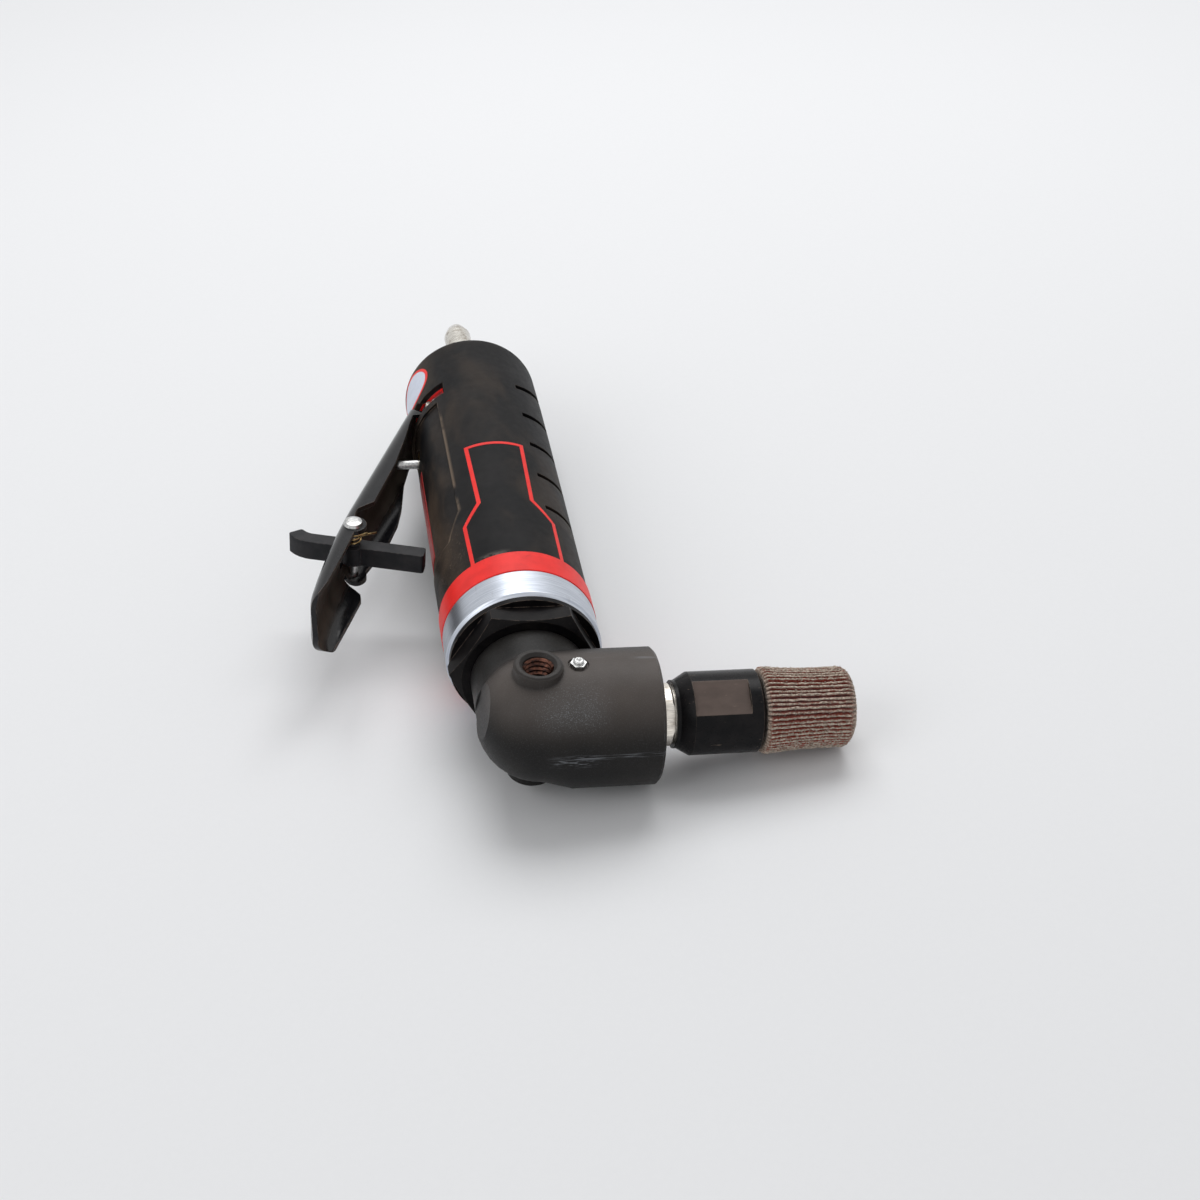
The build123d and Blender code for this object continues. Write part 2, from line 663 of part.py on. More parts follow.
def make_collet_nut():
    start, end = COLLET_NUT
    nose_r = COLLET_NOSE_R + NOSE_GAP
    cone = COLLET_CONE + CONE_GAP
    bore = THREAD_R + RUN_GAP
    nut = turned_x([(start, bore), (start, COLLET_NUT_REAR_R), (start + COLLET_NUT_LIP, COLLET_NUT_REAR_R),
                    (start + COLLET_NUT_CONE, COLLET_NUT_R), (end - COLLET_NUT_EDGE, COLLET_NUT_R),
                    (end, COLLET_NUT_R - COLLET_NUT_EDGE), (end, nose_r), (COLLET_NOSE + CONE_GAP, nose_r),
                    (cone, COLLET_R + NOSE_GAP), (cone, bore)])
    half = COLLET_NUT_FLATS / 2
    for turn in (COLLET_NUT_TURN, COLLET_NUT_TURN + 180):
        nut -= Rot(turn, 0, 0) * block(COLLET_NUT_FLAT, (-FAR, FAR), (half, FAR))
    return nut


def make_flap_wheel_hub():
    return turned_x([(SHANK_START, 0), (SHANK_START, SHANK_R), (WHEEL[0], SHANK_R), (WHEEL[0], CORE_R),
                     (WHEEL[1] - CORE_RECESS, CORE_R), (WHEEL[1] - CORE_RECESS, 0)])


def wheel_envelope():
    start, end = WHEEL
    middle = (start + end) / 2
    with BuildLine() as edge:
        Polyline((start, 0), (start, WHEEL_R - WHEEL_EDGE), (start + WHEEL_EDGE, WHEEL_R))
        ThreePointArc((start + WHEEL_EDGE, WHEEL_R), (middle, WHEEL_R - WHEEL_WAIST),
                      (end - WHEEL_ROUND, WHEEL_R))
        RadiusArc((end - WHEEL_ROUND, WHEEL_R), (end, WHEEL_R - WHEEL_ROUND), WHEEL_ROUND)
        Polyline((end, WHEEL_R - WHEEL_ROUND), (end, 0), (start, 0))
    return revolve(make_face(edge.line), Axis.X)


def make_flap_wheel_flaps():
    step = 2 * math.pi / FLAPS
    points = []
    for index in range(FLAPS):
        lead = index * step
        outer = WHEEL_R + FREE_GAP
        for share, radius in ((0, WHEEL_R - FLAP_DEPTH), (FLAP_SHARE[0], outer), (FLAP_SHARE[1], outer)):
            angle = lead + share * step
            points.append((radius * math.cos(angle), radius * math.sin(angle)))
    comb = Pos(WHEEL[0] - 1, 0, 0) * ALONG_X * extrude(plan(points), WHEEL[1] - WHEEL[0] + 2)
    return (comb & wheel_envelope()) - rod_x(CORE_R + BORE_GAP, WHEEL[0] - 1, WHEEL[1] + 1)


# Motor

def housing_passages():
    rear = rod_y(INLET_THREAD_R + RUN_GAP, INLET_FLOOR, HOUSING_END + 1)
    rear += rod_y(INLET_BORE_R, SLOT[0], INLET_FLOOR)
    rear += rod_y(INLET_PORT_R, VALVE_Y, SLOT[0] + 1, x=INLET_PORT_X)
    rear += rod_y(FEED_R, REAR_PLATE[1], VALVE_Y, x=FEED_X)
    rear += rod_x(BUSH_R + BORE_GAP, -HOUSING_R - 1, BUSH[1], y=VALVE_Y)
    rear += rod_x(PORT_R, BUSH[1], SEAT_X, y=VALVE_Y)
    rear += rod_x(VALVE_BORE_R, SEAT_X, HOUSING_R + 1, y=VALVE_Y)
    rear += rod_y(FELT_R[1] + PLAY, HOUSING_END - FELT, HOUSING_END + 1) - rod_y(FELT_R[0] - PLAY, 0, FAR)
    for x in (-VENT_AT[0], VENT_AT[0]):
        for z in (-VENT_AT[1], VENT_AT[1]):
            rear += rod_y(VENT_R, REAR_PLATE[1] - 1, HOUSING_END, x=x, z=z)
    return rear


def make_motor_housing():
    body = turned_y([(0, NUT_SEAT), (RING_R - RING_CHAMFER, NUT_SEAT), (RING_R, NUT_SEAT + RING_CHAMFER),
                     (RING_R, RING_END), (HOUSING_R, RING_END), (HOUSING_R, HOUSING_END), (0, HOUSING_END)])
    body -= rod_y(NUT_THREAD_R + RUN_GAP, NUT_SEAT - 1, THREAD_BORE_END)
    body -= rod_y(MOTOR_BORE_R, THREAD_BORE_END - 1, REAR_PLATE[1])
    body -= rod_y(REAR_BEARING_R + WASHER_BORE_GAP, REAR_PLATE[1] - 1, WASHER_END)
    body -= housing_passages()
    body -= lever_pocket()
    return body - rod_z(PIN_R + BORE_GAP, -FAR, FAR, *PIVOT)


def make_front_end_plate():
    start, end = FRONT_PLATE
    plate = rod_y(MOTOR_BORE_R - RUN_GAP, start, end)
    plate -= rod_y(FRONT_JOURNAL_R + FREE_GAP, start - 1, end + 1)
    plate -= rod_y(FRONT_BEARING_R + BORE_GAP, start - 1, start + PLATE_BEARING)
    return plate - rod_y(DOWEL_R + BORE_GAP, end - DOWEL_HOLE, end + 1, z=DOWEL_Z)


def make_rear_end_plate():
    start, end = REAR_PLATE
    plate = rod_y(MOTOR_BORE_R - RUN_GAP, start, end) - rod_y(REAR_JOURNAL_R + FREE_GAP, start - 1, end + 1)
    plate -= rod_y(REAR_BEARING_R + BORE_GAP, end - PLATE_BEARING, end + 1)
    plate -= rod_y(FEED_R, start - 1, end + 1, x=FEED_X - FEED_STEP)
    return plate - rod_y(DOWEL_R + BORE_GAP, start - 1, start + DOWEL_HOLE, z=DOWEL_Z)


def make_cylinder_liner():
    start, end = FRONT_PLATE[1], REAR_PLATE[0]
    liner = rod_y(MOTOR_BORE_R - RUN_GAP, start, end)
    liner -= rod_y(CHAMBER_R, start - 1, end + 1, z=CHAMBER_SHIFT)
    liner -= rod_y(DOWEL_R + BORE_GAP, start - 1, end + 1, z=DOWEL_Z)
    for y in LINER_PORTS:
        liner -= rod_x(LINER_PORT_R, 0, MOTOR_BORE_R + 1, y=y)
    return liner


def make_liner_dowel():
    return rod_y(DOWEL_R, FRONT_PLATE[1] - DOWEL_REACH, REAR_PLATE[0] + DOWEL_REACH, z=DOWEL_Z)


def vane_slot(turn, thick, root, tip):
    start = FRONT_PLATE[1] + ROTOR_END_GAP
    end = REAR_PLATE[0] - ROTOR_END_GAP
    return Rot(0, turn, 0) * block((root, tip), (start, end), (-thick / 2, thick / 2))


def make_rotor():
    start = FRONT_PLATE[1] + ROTOR_END_GAP
    end = REAR_PLATE[0] - ROTOR_END_GAP
    rotor = turned_y([
        (0, SPLINE_START), (SPLINE_R, SPLINE_START), (SPLINE_R, SPLINE_END), (FRONT_JOURNAL_R, SPLINE_END),
        (FRONT_JOURNAL_R, start), (ROTOR_R, start), (ROTOR_R, end), (REAR_JOURNAL_R, end),
        (REAR_JOURNAL_R, REAR_PLATE[1] + ROTOR_TAIL), (0, REAR_PLATE[1] + ROTOR_TAIL)])
    for index in range(VANES):
        rotor -= vane_slot(index * 360 / VANES, VANE_THICK + 2 * RUN_GAP, VANE_ROOT_R, ROTOR_R + 1)
    return rotor


def make_rotor_vanes():
    vanes = Part()
    for index in range(VANES):
        vanes += vane_slot(index * 360 / VANES, VANE_THICK, VANE_ROOT_R + RUN_GAP, ROTOR_R - RUN_GAP)
    return vanes


def make_front_rotor_bearing():
    start = FRONT_PLATE[0]
    return ring_bearing(FRONT_JOURNAL_R + BORE_GAP, FRONT_BEARING_R, start, start + PLATE_BEARING)


def make_rear_rotor_bearing():
    end = REAR_PLATE[1]
    return ring_bearing(REAR_JOURNAL_R + BORE_GAP, REAR_BEARING_R, end - PLATE_BEARING, end)


def make_wave_washer():
    start = REAR_PLATE[1]
    inner, middle, outer = WASHER_R
    return turned_y([(middle, start), (outer, start), (outer, start + WASHER_THICK), (middle, WASHER_END),
                     (inner, WASHER_END), (inner, WASHER_END - WASHER_THICK)])


# Throttle valve

def lever_inner_x(y):
    """Inner face of the lever web at height y along the tool."""
    lean = math.radians(LEVER_ANGLE)
    offset = (LEVER_OFFSET - LEVER_SHEET) / math.cos(lean)
    return PIVOT[0] - offset - (PIVOT[1] - y) * math.tan(lean)


def make_valve_stem():
    dome = lever_inner_x(VALVE_Y) + STEM_R / math.cos(math.radians(LEVER_ANGLE)) + STEM_GAP
    face = SEAT_X + SEAT_THICK + RUN_GAP
    stem = rod_x(STEM_R, dome, face + 0.5) + Pos(dome, 0, 0) * Sphere(STEM_R)
    stem += rod_x(POPPET_R, face, face + POPPET_THICK) + rod_x(TAIL_R, face, TAIL_END)
    return Pos(0, VALVE_Y, 0) * stem


def make_valve_bush():
    bush = rod_x(BUSH_R, *BUSH) - rod_x(STEM_R + RUN_GAP, BUSH[0] - 1, BUSH[1] + 1)
    return Pos(0, VALVE_Y, 0) * bush


def make_valve_seat():
    seat = rod_x(VALVE_BORE_R - BORE_GAP, SEAT_X, SEAT_X + SEAT_THICK)
    return Pos(0, VALVE_Y, 0) * (seat - rod_x(PORT_R - SEAT_LIP, SEAT_X - 1, SEAT_X + 2))


def helix(radius, pitch, turns, handed=1):
    """Points and tangents of a winding about Z, four to the turn."""
    slope = pitch / (2 * math.pi * radius)
    scale = 1 / math.hypot(1, slope)
    points = []
    tangents = []
    for index in range(int(turns * 4) + 1):
        angle = handed * index * math.pi / 2
        points.append(Vector(radius * math.cos(angle), radius * math.sin(angle), pitch * index / 4))
        tangents.append(Vector(-handed * math.sin(angle), handed * math.cos(angle), slope) * scale)
    return points, tangents


def make_valve_spring():
    low = SEAT_X + SEAT_THICK + RUN_GAP + POPPET_THICK + VALVE_WIRE_R + RUN_GAP
    high = VALVE_PLUG[0] - VALVE_WIRE_R - RUN_GAP
    coil = wound(*helix(VALVE_COIL_R, (high - low) / VALVE_TURNS, VALVE_TURNS), VALVE_WIRE_R)
    return Pos(low, VALVE_Y, 0) * ALONG_X * coil


def make_valve_plug():
    plug = rod_x(VALVE_BORE_R - RUN_GAP, *VALVE_PLUG)
    key = extrude(RegularPolygon(KEY_R, 6), KEY_DEPTH + 1)
    socket = Pos(VALVE_PLUG[1] - KEY_DEPTH, 0, 0) * ALONG_X * key
    return Pos(0, VALVE_Y, 0) * (plug - socket)


# Rear end

def make_inlet_bush():
    bush = rod_y(INLET_THREAD_R, INLET_FLOOR, HOUSING_END) + rod_y(INLET_NECK_R, HOUSING_END, INLET_HEX[0])
    envelope = turned_y([
        (0, INLET_HEX[0]), (INLET_CORNER_R, INLET_HEX[0]),
        (INLET_CORNER_R, INLET_HEX[1] - INLET_FACE_SLOPE), (INLET_FACE_R, INLET_HEX[1]), (0, INLET_HEX[1])])
    bush += hex_y(INLET_FLATS, *INLET_HEX) & envelope
    bush -= rod_y(INLET_BORE_R, INLET_FLOOR - 1, INLET_HEX[1] + 1)
    return bush - rod_y(PLUG_THREAD_R + RUN_GAP, PLUG_SOCKET, INLET_HEX[1] + 1)


def make_inlet_screen():
    cup = rod_y(INLET_BORE_R - BORE_GAP, INLET_FLOOR, SCREEN_END)
    return cup - rod_y(INLET_BORE_R - SCREEN_WALL, INLET_FLOOR + SCREEN_WALL, PLUG_SOCKET)


def make_air_plug():
    hex_start = INLET_HEX[1] + PLAY
    thread_start = PLUG_SOCKET + PLUG_END_GAP
    collar_start, collar_end = PLUG_COLLAR
    plug = turned_y([
        (PLUG_BORE_R, thread_start), (PLUG_THREAD_R, thread_start), (PLUG_THREAD_R, hex_start),
        (PLUG_NECK_R, hex_start), (PLUG_NECK_R, collar_start - PLUG_NECK_SLOPE),
        (PLUG_COLLAR_R, collar_start), (PLUG_COLLAR_R, collar_end),
        (PLUG_NOSE_R, collar_end + PLUG_COLLAR_SLOPE),
        (PLUG_NOSE_R, PLUG_NOSE_END - PLUG_TIP_LENGTH), (PLUG_TIP_R, PLUG_NOSE_END),
        (PLUG_BORE_R, PLUG_NOSE_END)])
    flats = hex_y(PLUG_FLATS, hex_start, PLUG_HEX_END) - rod_y(PLUG_BORE_R, 0, FAR)
    return plug + flats


def make_exhaust_ring():
    ring = rod_y(EXHAUST_R[1], HOUSING_END, EXHAUST_END) - rod_y(EXHAUST_R[0], 0, FAR)
    for index in range(EXHAUST_SLOTS):
        slot = block((EXHAUST_SLOT_R, EXHAUST_R[1] + 1), (HOUSING_END - 1, EXHAUST_END + 1),
                     (-EXHAUST_SLOT_HALF, EXHAUST_SLOT_HALF))
        ring -= Rot(0, index * 360 / EXHAUST_SLOTS, 0) * slot
    return ring


def make_muffler_felt():
    return rod_y(FELT_R[1], HOUSING_END - FELT + RUN_GAP, HOUSING_END) - rod_y(FELT_R[0], 0, FAR)


# Grip

def lever_slot(start):
    """Slot across the grip, wider in the middle where the lever ears turn."""
    slot = block((-FAR, SLOT_X), (start, SLOT[1]), (-BAND_R, BAND_R))
    return slot + lever_pocket()


def lever_pocket():
    return block((-FAR, SLOT_X), (SLOT[0], POCKET_END), (-POCKET_HALF_Z, POCKET_HALF_Z))


def strip_shape(half_z, ends):
    return block((-FAR, 0), ends, (-half_z, half_z))


def make_red_liner():
    liner = rod_y(LINER_R, RING_END, LINER_END)
    band = turned_y([
        (0, RING_END), (BAND_R - BAND_FRONT_EDGE, RING_END), (BAND_R, RING_END + BAND_FRONT_EDGE),
        (BAND_R, BAND_END - BAND_REAR_EDGE), (BAND_R - BAND_REAR_EDGE, BAND_END), (0, BAND_END)])
    strip = rod_y(SLEEVE_R - STRIP_DEPTH, *STRIP) & strip_shape(STRIP_HALF_Z, STRIP)
    liner += band + strip
    liner -= rod_y(HOUSING_R + BORE_GAP, 0, FAR)
    liner -= rod_x(BUSH_R + FREE_GAP, -FAR, BUSH[1], y=VALVE_Y)
    return liner - lever_slot(SLOT[0] + SLOT_LEDGE)


def sleeve_blank():
    round_start = SLEEVE_END - SLEEVE_ROUND
    round_r = SLEEVE_REAR_R - SLEEVE_ROUND
    with BuildLine() as edge:
        Polyline((LINER_R + BORE_GAP, BAND_END), (SLEEVE_FRONT_R - BAND_REAR_EDGE, BAND_END),
                 (SLEEVE_FRONT_R, BAND_END + SLEEVE_FRONT_EDGE), (SLEEVE_R, SLEEVE_FULL[0]),
                 (SLEEVE_R, SLEEVE_FULL[1]),
                 (SLEEVE_REAR_R, round_start))
        RadiusArc((SLEEVE_REAR_R, round_start), (round_r, SLEEVE_END), -SLEEVE_ROUND)
        Polyline((round_r, SLEEVE_END), (SLEEVE_LIP_R, SLEEVE_END), (SLEEVE_LIP_R, SLEEVE_LIP),
                 (LINER_R + BORE_GAP, SLEEVE_LIP), (LINER_R + BORE_GAP, BAND_END))
    return revolve(make_face(edge.line), Axis.Y)


def panel_shape():
    """Panel on the lever side, narrowed at the front by two slanted corners."""
    front, rear = PANEL
    upper = [(rear, PANEL_HALF_Z), (PANEL_CORNER, PANEL_HALF_Z), (front, PANEL_FRONT_HALF_Z)]
    lower = [(y, -z) for y, z in upper[::-1]]
    side = Plane(origin=(-FAR, 0, 0), x_dir=(0, 1, 0), z_dir=(1, 0, 0)) * plan(upper + lower)
    return extrude(side, FAR)


def finger_grooves():
    """Slanted grooves on the side away from the lever, mirrored about the middle."""
    skin = rod_y(SLEEVE_R + 2, BAND_END, SLEEVE_END)
    skin -= rod_y(SLEEVE_R - GROOVE_DEPTH, BAND_END - 1, SLEEVE_END + 1)
    region = skin & block((GROOVE_START_X, FAR), (BAND_END, SLEEVE_LIP), (0, FAR))
    grooves = []
    for index in range(GROOVES):
        tilt = GROOVE_TILT + index * GROOVE_TILT_STEP
        middle = GROOVE_FIRST + index * GROOVE_STEP + GROOVE_TILT_Z * math.tan(math.radians(tilt))
        slab = Pos(0, middle, 0) * Rot(tilt, 0, 0) * Box(FAR, GROOVE_WIDTH, FAR)
        groove = slab & region
        grooves.append(groove)
        grooves.append(mirror(groove, Plane.XY))
    return grooves


def make_grip_sleeve():
    sleeve = sleeve_blank()
    for groove in finger_grooves():
        sleeve -= groove
    skin = rod_y(SLEEVE_R + 1, *PANEL) - rod_y(SLEEVE_R - PANEL_DEPTH, PANEL[0] - 1, PANEL[1] + 1)
    sleeve -= skin & panel_shape()
    sleeve -= strip_shape(STRIP_HALF_Z + PLAY, (STRIP[0] - PLAY, STRIP[1] + PLAY))
    sleeve -= rod_x(BUSH_R + FREE_GAP, -FAR, BUSH[1], y=VALVE_Y)
    return sleeve - lever_slot(SLOT[0])


# Lever

def rear_point(along, depth):
    """Plan point on the rear half of the lever, from the foot of the pivot on the web."""
    lean = math.radians(LEVER_ANGLE)
    step = depth - LEVER_OFFSET
    return (PIVOT[0] - along * math.sin(lean) + step * math.cos(lean),
            PIVOT[1] - along * math.cos(lean) - step * math.sin(lean))


def front_point(along, depth):
    """Plan point on the front half of the lever, from the bend."""
    lean = math.radians(FRONT_ANGLE)
    return (FRONT_AT[0] - along * math.sin(lean) + depth * math.cos(lean),
            FRONT_AT[1] - along * math.cos(lean) - depth * math.sin(lean))


def bow(start, lean, radius, turn):
    """Arc that leaves start at the lean and curves towards the body; gives arc, end and new lean."""
    centre = (start[0] + radius * math.cos(math.radians(lean)),
              start[1] - radius * math.sin(math.radians(lean)))

    def at(angle):
        return (centre[0] - radius * math.cos(math.radians(angle)),
                centre[1] + radius * math.sin(math.radians(angle)))
    end = at(lean - turn)
    return ThreePointArc(start, at(lean - turn / 2), end), end, lean - turn


def lever_plan(inset):
    """Space on the body side of the web face that lies inset from the outer face."""
    start = rear_point(-LEVER_TAIL - inset, inset)
    bend = rear_point(LEVER_STRAIGHT, inset)
    first, middle, lean = bow(bend, LEVER_ANGLE, LEVER_BOW - inset, LEVER_BOW_TURN)
    second, end, lean = bow(middle, lean, SPOON_BOW - inset, SPOON_TURN)
    deep = LEVER_DEEP + inset
    inside = (end[0] + deep, end[1])
    rear_inside = rear_point(-LEVER_TAIL - inset, deep)
    closing = Polyline(end, inside, rear_inside, start)
    return make_face([Line(start, bend).edge(), first.edge(), second.edge()] + list(closing.edges()))


def lever_channel():
    return channel_block(0) - channel_block(LEVER_SHEET)


def channel_block(inset):
    """Channel filled up to inset from its outer skin, with both long edges rounded."""
    half = LEVER_HALF - inset
    filled = Pos(0, 0, -half) * extrude(lever_plan(inset), 2 * half)
    filled = fillet(web_edges(filled, half, inset), LEVER_TOP_ROUND - inset)
    return fillet(web_edges(filled, -half, inset), LEVER_LOW_ROUND - inset)


def web_edges(solid, level, inset):
    """Long edges between the web and the flange at this level."""
    edges = []
    for edge in solid.edges():
        middle = edge @ 0.5
        if abs(middle.Z - level) < 0.01 and edge.length > 5 and on_web(middle, inset):
            edges.append(edge)
    return edges


def on_web(point, inset):
    lean = math.radians(LEVER_ANGLE)
    depth = (point.X - PIVOT[0]) * math.cos(lean) - (point.Y - PIVOT[1]) * math.sin(lean) + LEVER_OFFSET
    return inset - 1 < depth < inset + 8 and point.Y < PIVOT[1]


def flange_keep(rear, front, low, high):
    """Part of the channel kept between two heights: web, flange strip, pivot ear and rivet ear."""
    inner = [rear_point(*p) for p in rear] + [front_point(*p) for p in front]
    outline = [rear_point(-LEVER_TAIL - 1, LEVER_SHEET), rear_point(-LEVER_TAIL - 1, -LEVER_DEEP),
               front_point(front[-1][0], -LEVER_DEEP)] + inner[::-1]
    keep = plan(outline) + Pos(*PIVOT) * Circle(EAR_R)
    neck = plan([rear_point(-EAR_R, LEVER_OFFSET), rear_point(-LEVER_TAIL, 1), rear_point(EAR_R + 1, 1),
                 rear_point(EAR_R, LEVER_OFFSET)])
    keep += neck + Pos(*front_point(*TAB_AT)) * Circle(RIVET_EAR_R)
    return Pos(0, 0, low) * extrude(keep, high - low)


def spoon_outline():
    """Front end of the lever as seen from the side: it slopes down to a rounded tip."""
    top, slope, tip, turn, foot = [(-along, height) for along, height in SPOON_EDGE]
    with BuildLine() as edge:
        Polyline(foot, (foot[0], -FAR), (FAR, -FAR), (FAR, FAR), (top[0], FAR), top)
        ThreePointArc(top, slope, tip)
        ThreePointArc(tip, turn, foot)
    side = Plane(origin=(-FAR, 0, 0), x_dir=(0, 1, 0), z_dir=(1, 0, 0)) * make_face(edge.line)
    return Pos(*FRONT_AT, 0) * Rot(0, 0, -FRONT_ANGLE) * extrude(side, 2 * FAR)


def make_throttle_lever():
    channel = lever_channel()
    upper = channel & flange_keep(UPPER_REAR, UPPER_FRONT, 0, LEVER_HALF + 1)
    lower = channel & flange_keep(LOWER_REAR, LOWER_FRONT, -LEVER_HALF - 1, 0)
    lever = (upper + lower) & spoon_outline()
    window = block(TAB_WINDOW_DEPTH, (-TAB_WINDOW[1], -TAB_WINDOW[0]),
                   (-TAB_WINDOW_HALF_Z, TAB_WINDOW_HALF_Z))
    lever -= Pos(*FRONT_AT, 0) * Rot(0, 0, -FRONT_ANGLE) * window
    lever -= rod_z(PIN_R + RUN_GAP, -FAR, FAR, *PIVOT)
    lever -= rod_z(SPRING_R + SPRING_WIRE_R + FREE_GAP, 0, LEVER_HALF - LEVER_SHEET, *front_point(*TAB_AT))
    return lever - rod_z(RIVET_R + BORE_GAP, -FAR, FAR, *front_point(*TAB_AT))


def make_lever_pivot_pin():
    return rod_z(PIN_R, -PIN_HALF, PIN_HALF, *PIVOT)


def tab_place():
    return Pos(*front_point(*TAB_AT), 0) * Rot(0, 0, -FRONT_ANGLE)


def make_lockoff_tab():
    turn = math.radians(TAB_CURL_TURN)
    half = TAB_HALF

    def curl(radius, angle):
        return (-TAB_OUTER - radius * math.sin(angle), TAB_CURL_R - radius * math.cos(angle))
    outer_r = TAB_CURL_R + half
    inner_r = TAB_CURL_R - half
    with BuildLine() as edge:
        Polyline((-TAB_OUTER, -half), (TAB_INNER, -half), (TAB_INNER, half), (-TAB_OUTER, half))
        ThreePointArc((-TAB_OUTER, half), curl(inner_r, turn / 2), curl(inner_r, turn))
        Line(curl(inner_r, turn), curl(outer_r, turn))
        ThreePointArc(curl(outer_r, turn), curl(outer_r, turn / 2), (-TAB_OUTER, -half))
    face = make_face(edge.line)
    corners = [v for v in face.vertices() if v.X > TAB_INNER - 1 or v.X < -TAB_OUTER - 1]
    face = fillet(corners, TAB_ROUND) + Circle(TAB_HUB_R)
    tab = Pos(0, 0, -TAB_HALF_Z) * extrude(face, 2 * TAB_HALF_Z)
    return tab_place() * (tab - rod_z(RIVET_R + RUN_GAP, -FAR, FAR))


def make_tab_rivet():
    top = LEVER_HALF
    foot = -top - RIVET_FOOT
    crown = top + RIVET_HEAD
    profile = [(0, foot), (RIVET_FOOT_R[0], foot), (RIVET_FOOT_R[1], -top), (RIVET_R, -top), (RIVET_R, top),
               (RIVET_HEAD_R, top), (RIVET_HEAD_R - RIVET_HEAD_EDGE, top + 0.7 * RIVET_HEAD),
               (RIVET_CROWN_R, crown), (0, crown)]
    return tab_place() * Rot(90, 0, 0) * turned_y(profile)


def make_tab_spring():
    """Torsion winding round the rivet: a leg across the tab, the turns, and a leg towards the web."""
    low = TAB_HALF_Z + SPRING_WIRE_R + FREE_GAP
    points, tangents = helix(SPRING_R, SPRING_PITCH, SPRING_TURNS)
    leave = Vector(tangents[-1].X, tangents[-1].Y, 0).normalized()
    enter = Vector(tangents[0].X, tangents[0].Y, 0).normalized()
    tangents[0] = enter
    tangents[-1] = leave
    points = [points[0] - enter * SPRING_LEG] + points + [points[-1] + leave * 3.0]
    tangents = [enter] + tangents + [leave]
    coil = wound(points, tangents, SPRING_WIRE_R)
    return tab_place() * Pos(0, 0, low) * Rot(0, 0, SPRING_LEG_ANGLE + 90) * coil


# Resting place on the table

def rest_roll():
    """Roll about Y that brings the barrel of the head down to the table beside the grip."""
    edge = HEAD_END - HEAD_EDGE
    return math.degrees(math.asin(BAND_R / math.hypot(edge, HEAD_R)) - math.atan2(HEAD_R, edge))


PIECES = {
    "angle_head": make_angle_head,
    "grease_fitting": make_grease_fitting,
    "clamp_nut": make_clamp_nut,
    "neck_snap_ring": make_neck_snap_ring,
    "spindle_gear": make_spindle_gear,
    "bevel_pinion": make_bevel_pinion,
    "pinion_bearing": make_pinion_bearing,
    "pinion_circlip": make_pinion_circlip,
    "spindle": make_spindle,
    "spindle_bearing": make_spindle_bearing,
    "spindle_needle_bearing": make_spindle_needle_bearing,
    "bearing_retainer": make_bearing_retainer,
    "collet": make_collet,
    "collet_nut": make_collet_nut,
    "flap_wheel_hub": make_flap_wheel_hub,
    "flap_wheel_flaps": make_flap_wheel_flaps,
    "motor_housing": make_motor_housing,
    "front_end_plate": make_front_end_plate,
    "rear_end_plate": make_rear_end_plate,
    "cylinder_liner": make_cylinder_liner,
    "liner_dowel": make_liner_dowel,
    "rotor": make_rotor,
    "rotor_vanes": make_rotor_vanes,
    "front_rotor_bearing": make_front_rotor_bearing,
    "rear_rotor_bearing": make_rear_rotor_bearing,
    "wave_washer": make_wave_washer,
    "valve_stem": make_valve_stem,
    "valve_bush": make_valve_bush,
    "valve_seat": make_valve_seat,
    "valve_spring": make_valve_spring,
    "valve_plug": make_valve_plug,
    "inlet_bush": make_inlet_bush,
    "inlet_screen": make_inlet_screen,
    "air_plug": make_air_plug,
    "exhaust_ring": make_exhaust_ring,
    "muffler_felt": make_muffler_felt,
    "red_liner": make_red_liner,
    "grip_sleeve": make_grip_sleeve,
    "throttle_lever": make_throttle_lever,
    "lever_pivot_pin": make_lever_pivot_pin,
    "lockoff_tab": make_lockoff_tab,
    "tab_rivet": make_tab_rivet,
    "tab_spring": make_tab_spring,
}


def place_on_table(shapes):
    """Rolled shapes with the origin on the table under the middle of the footprint."""
    rolled = {name: Rot(0, rest_roll(), 0) * shape for name, shape in shapes.items()}
    boxes = [shape.bounding_box() for shape in rolled.values()]
    middle_x = (min(box.min.X for box in boxes) + max(box.max.X for box in boxes)) / 2
    middle_y = (min(box.min.Y for box in boxes) + max(box.max.Y for box in boxes)) / 2
    place = Pos(-middle_x, -middle_y, BAND_R)
    return {name: place * shape for name, shape in rolled.items()}


def main():
    os.makedirs("parts", exist_ok=True)
    shapes = {name: make() for name, make in PIECES.items()}
    for name, shape in place_on_table(shapes).items():
        export_step(shape, f"parts/{name}.step")


if __name__ == "__main__":
    main()
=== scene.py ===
import json
import math
import random

import bmesh
import bpy
from mathutils import Euler, Matrix, Vector, noise


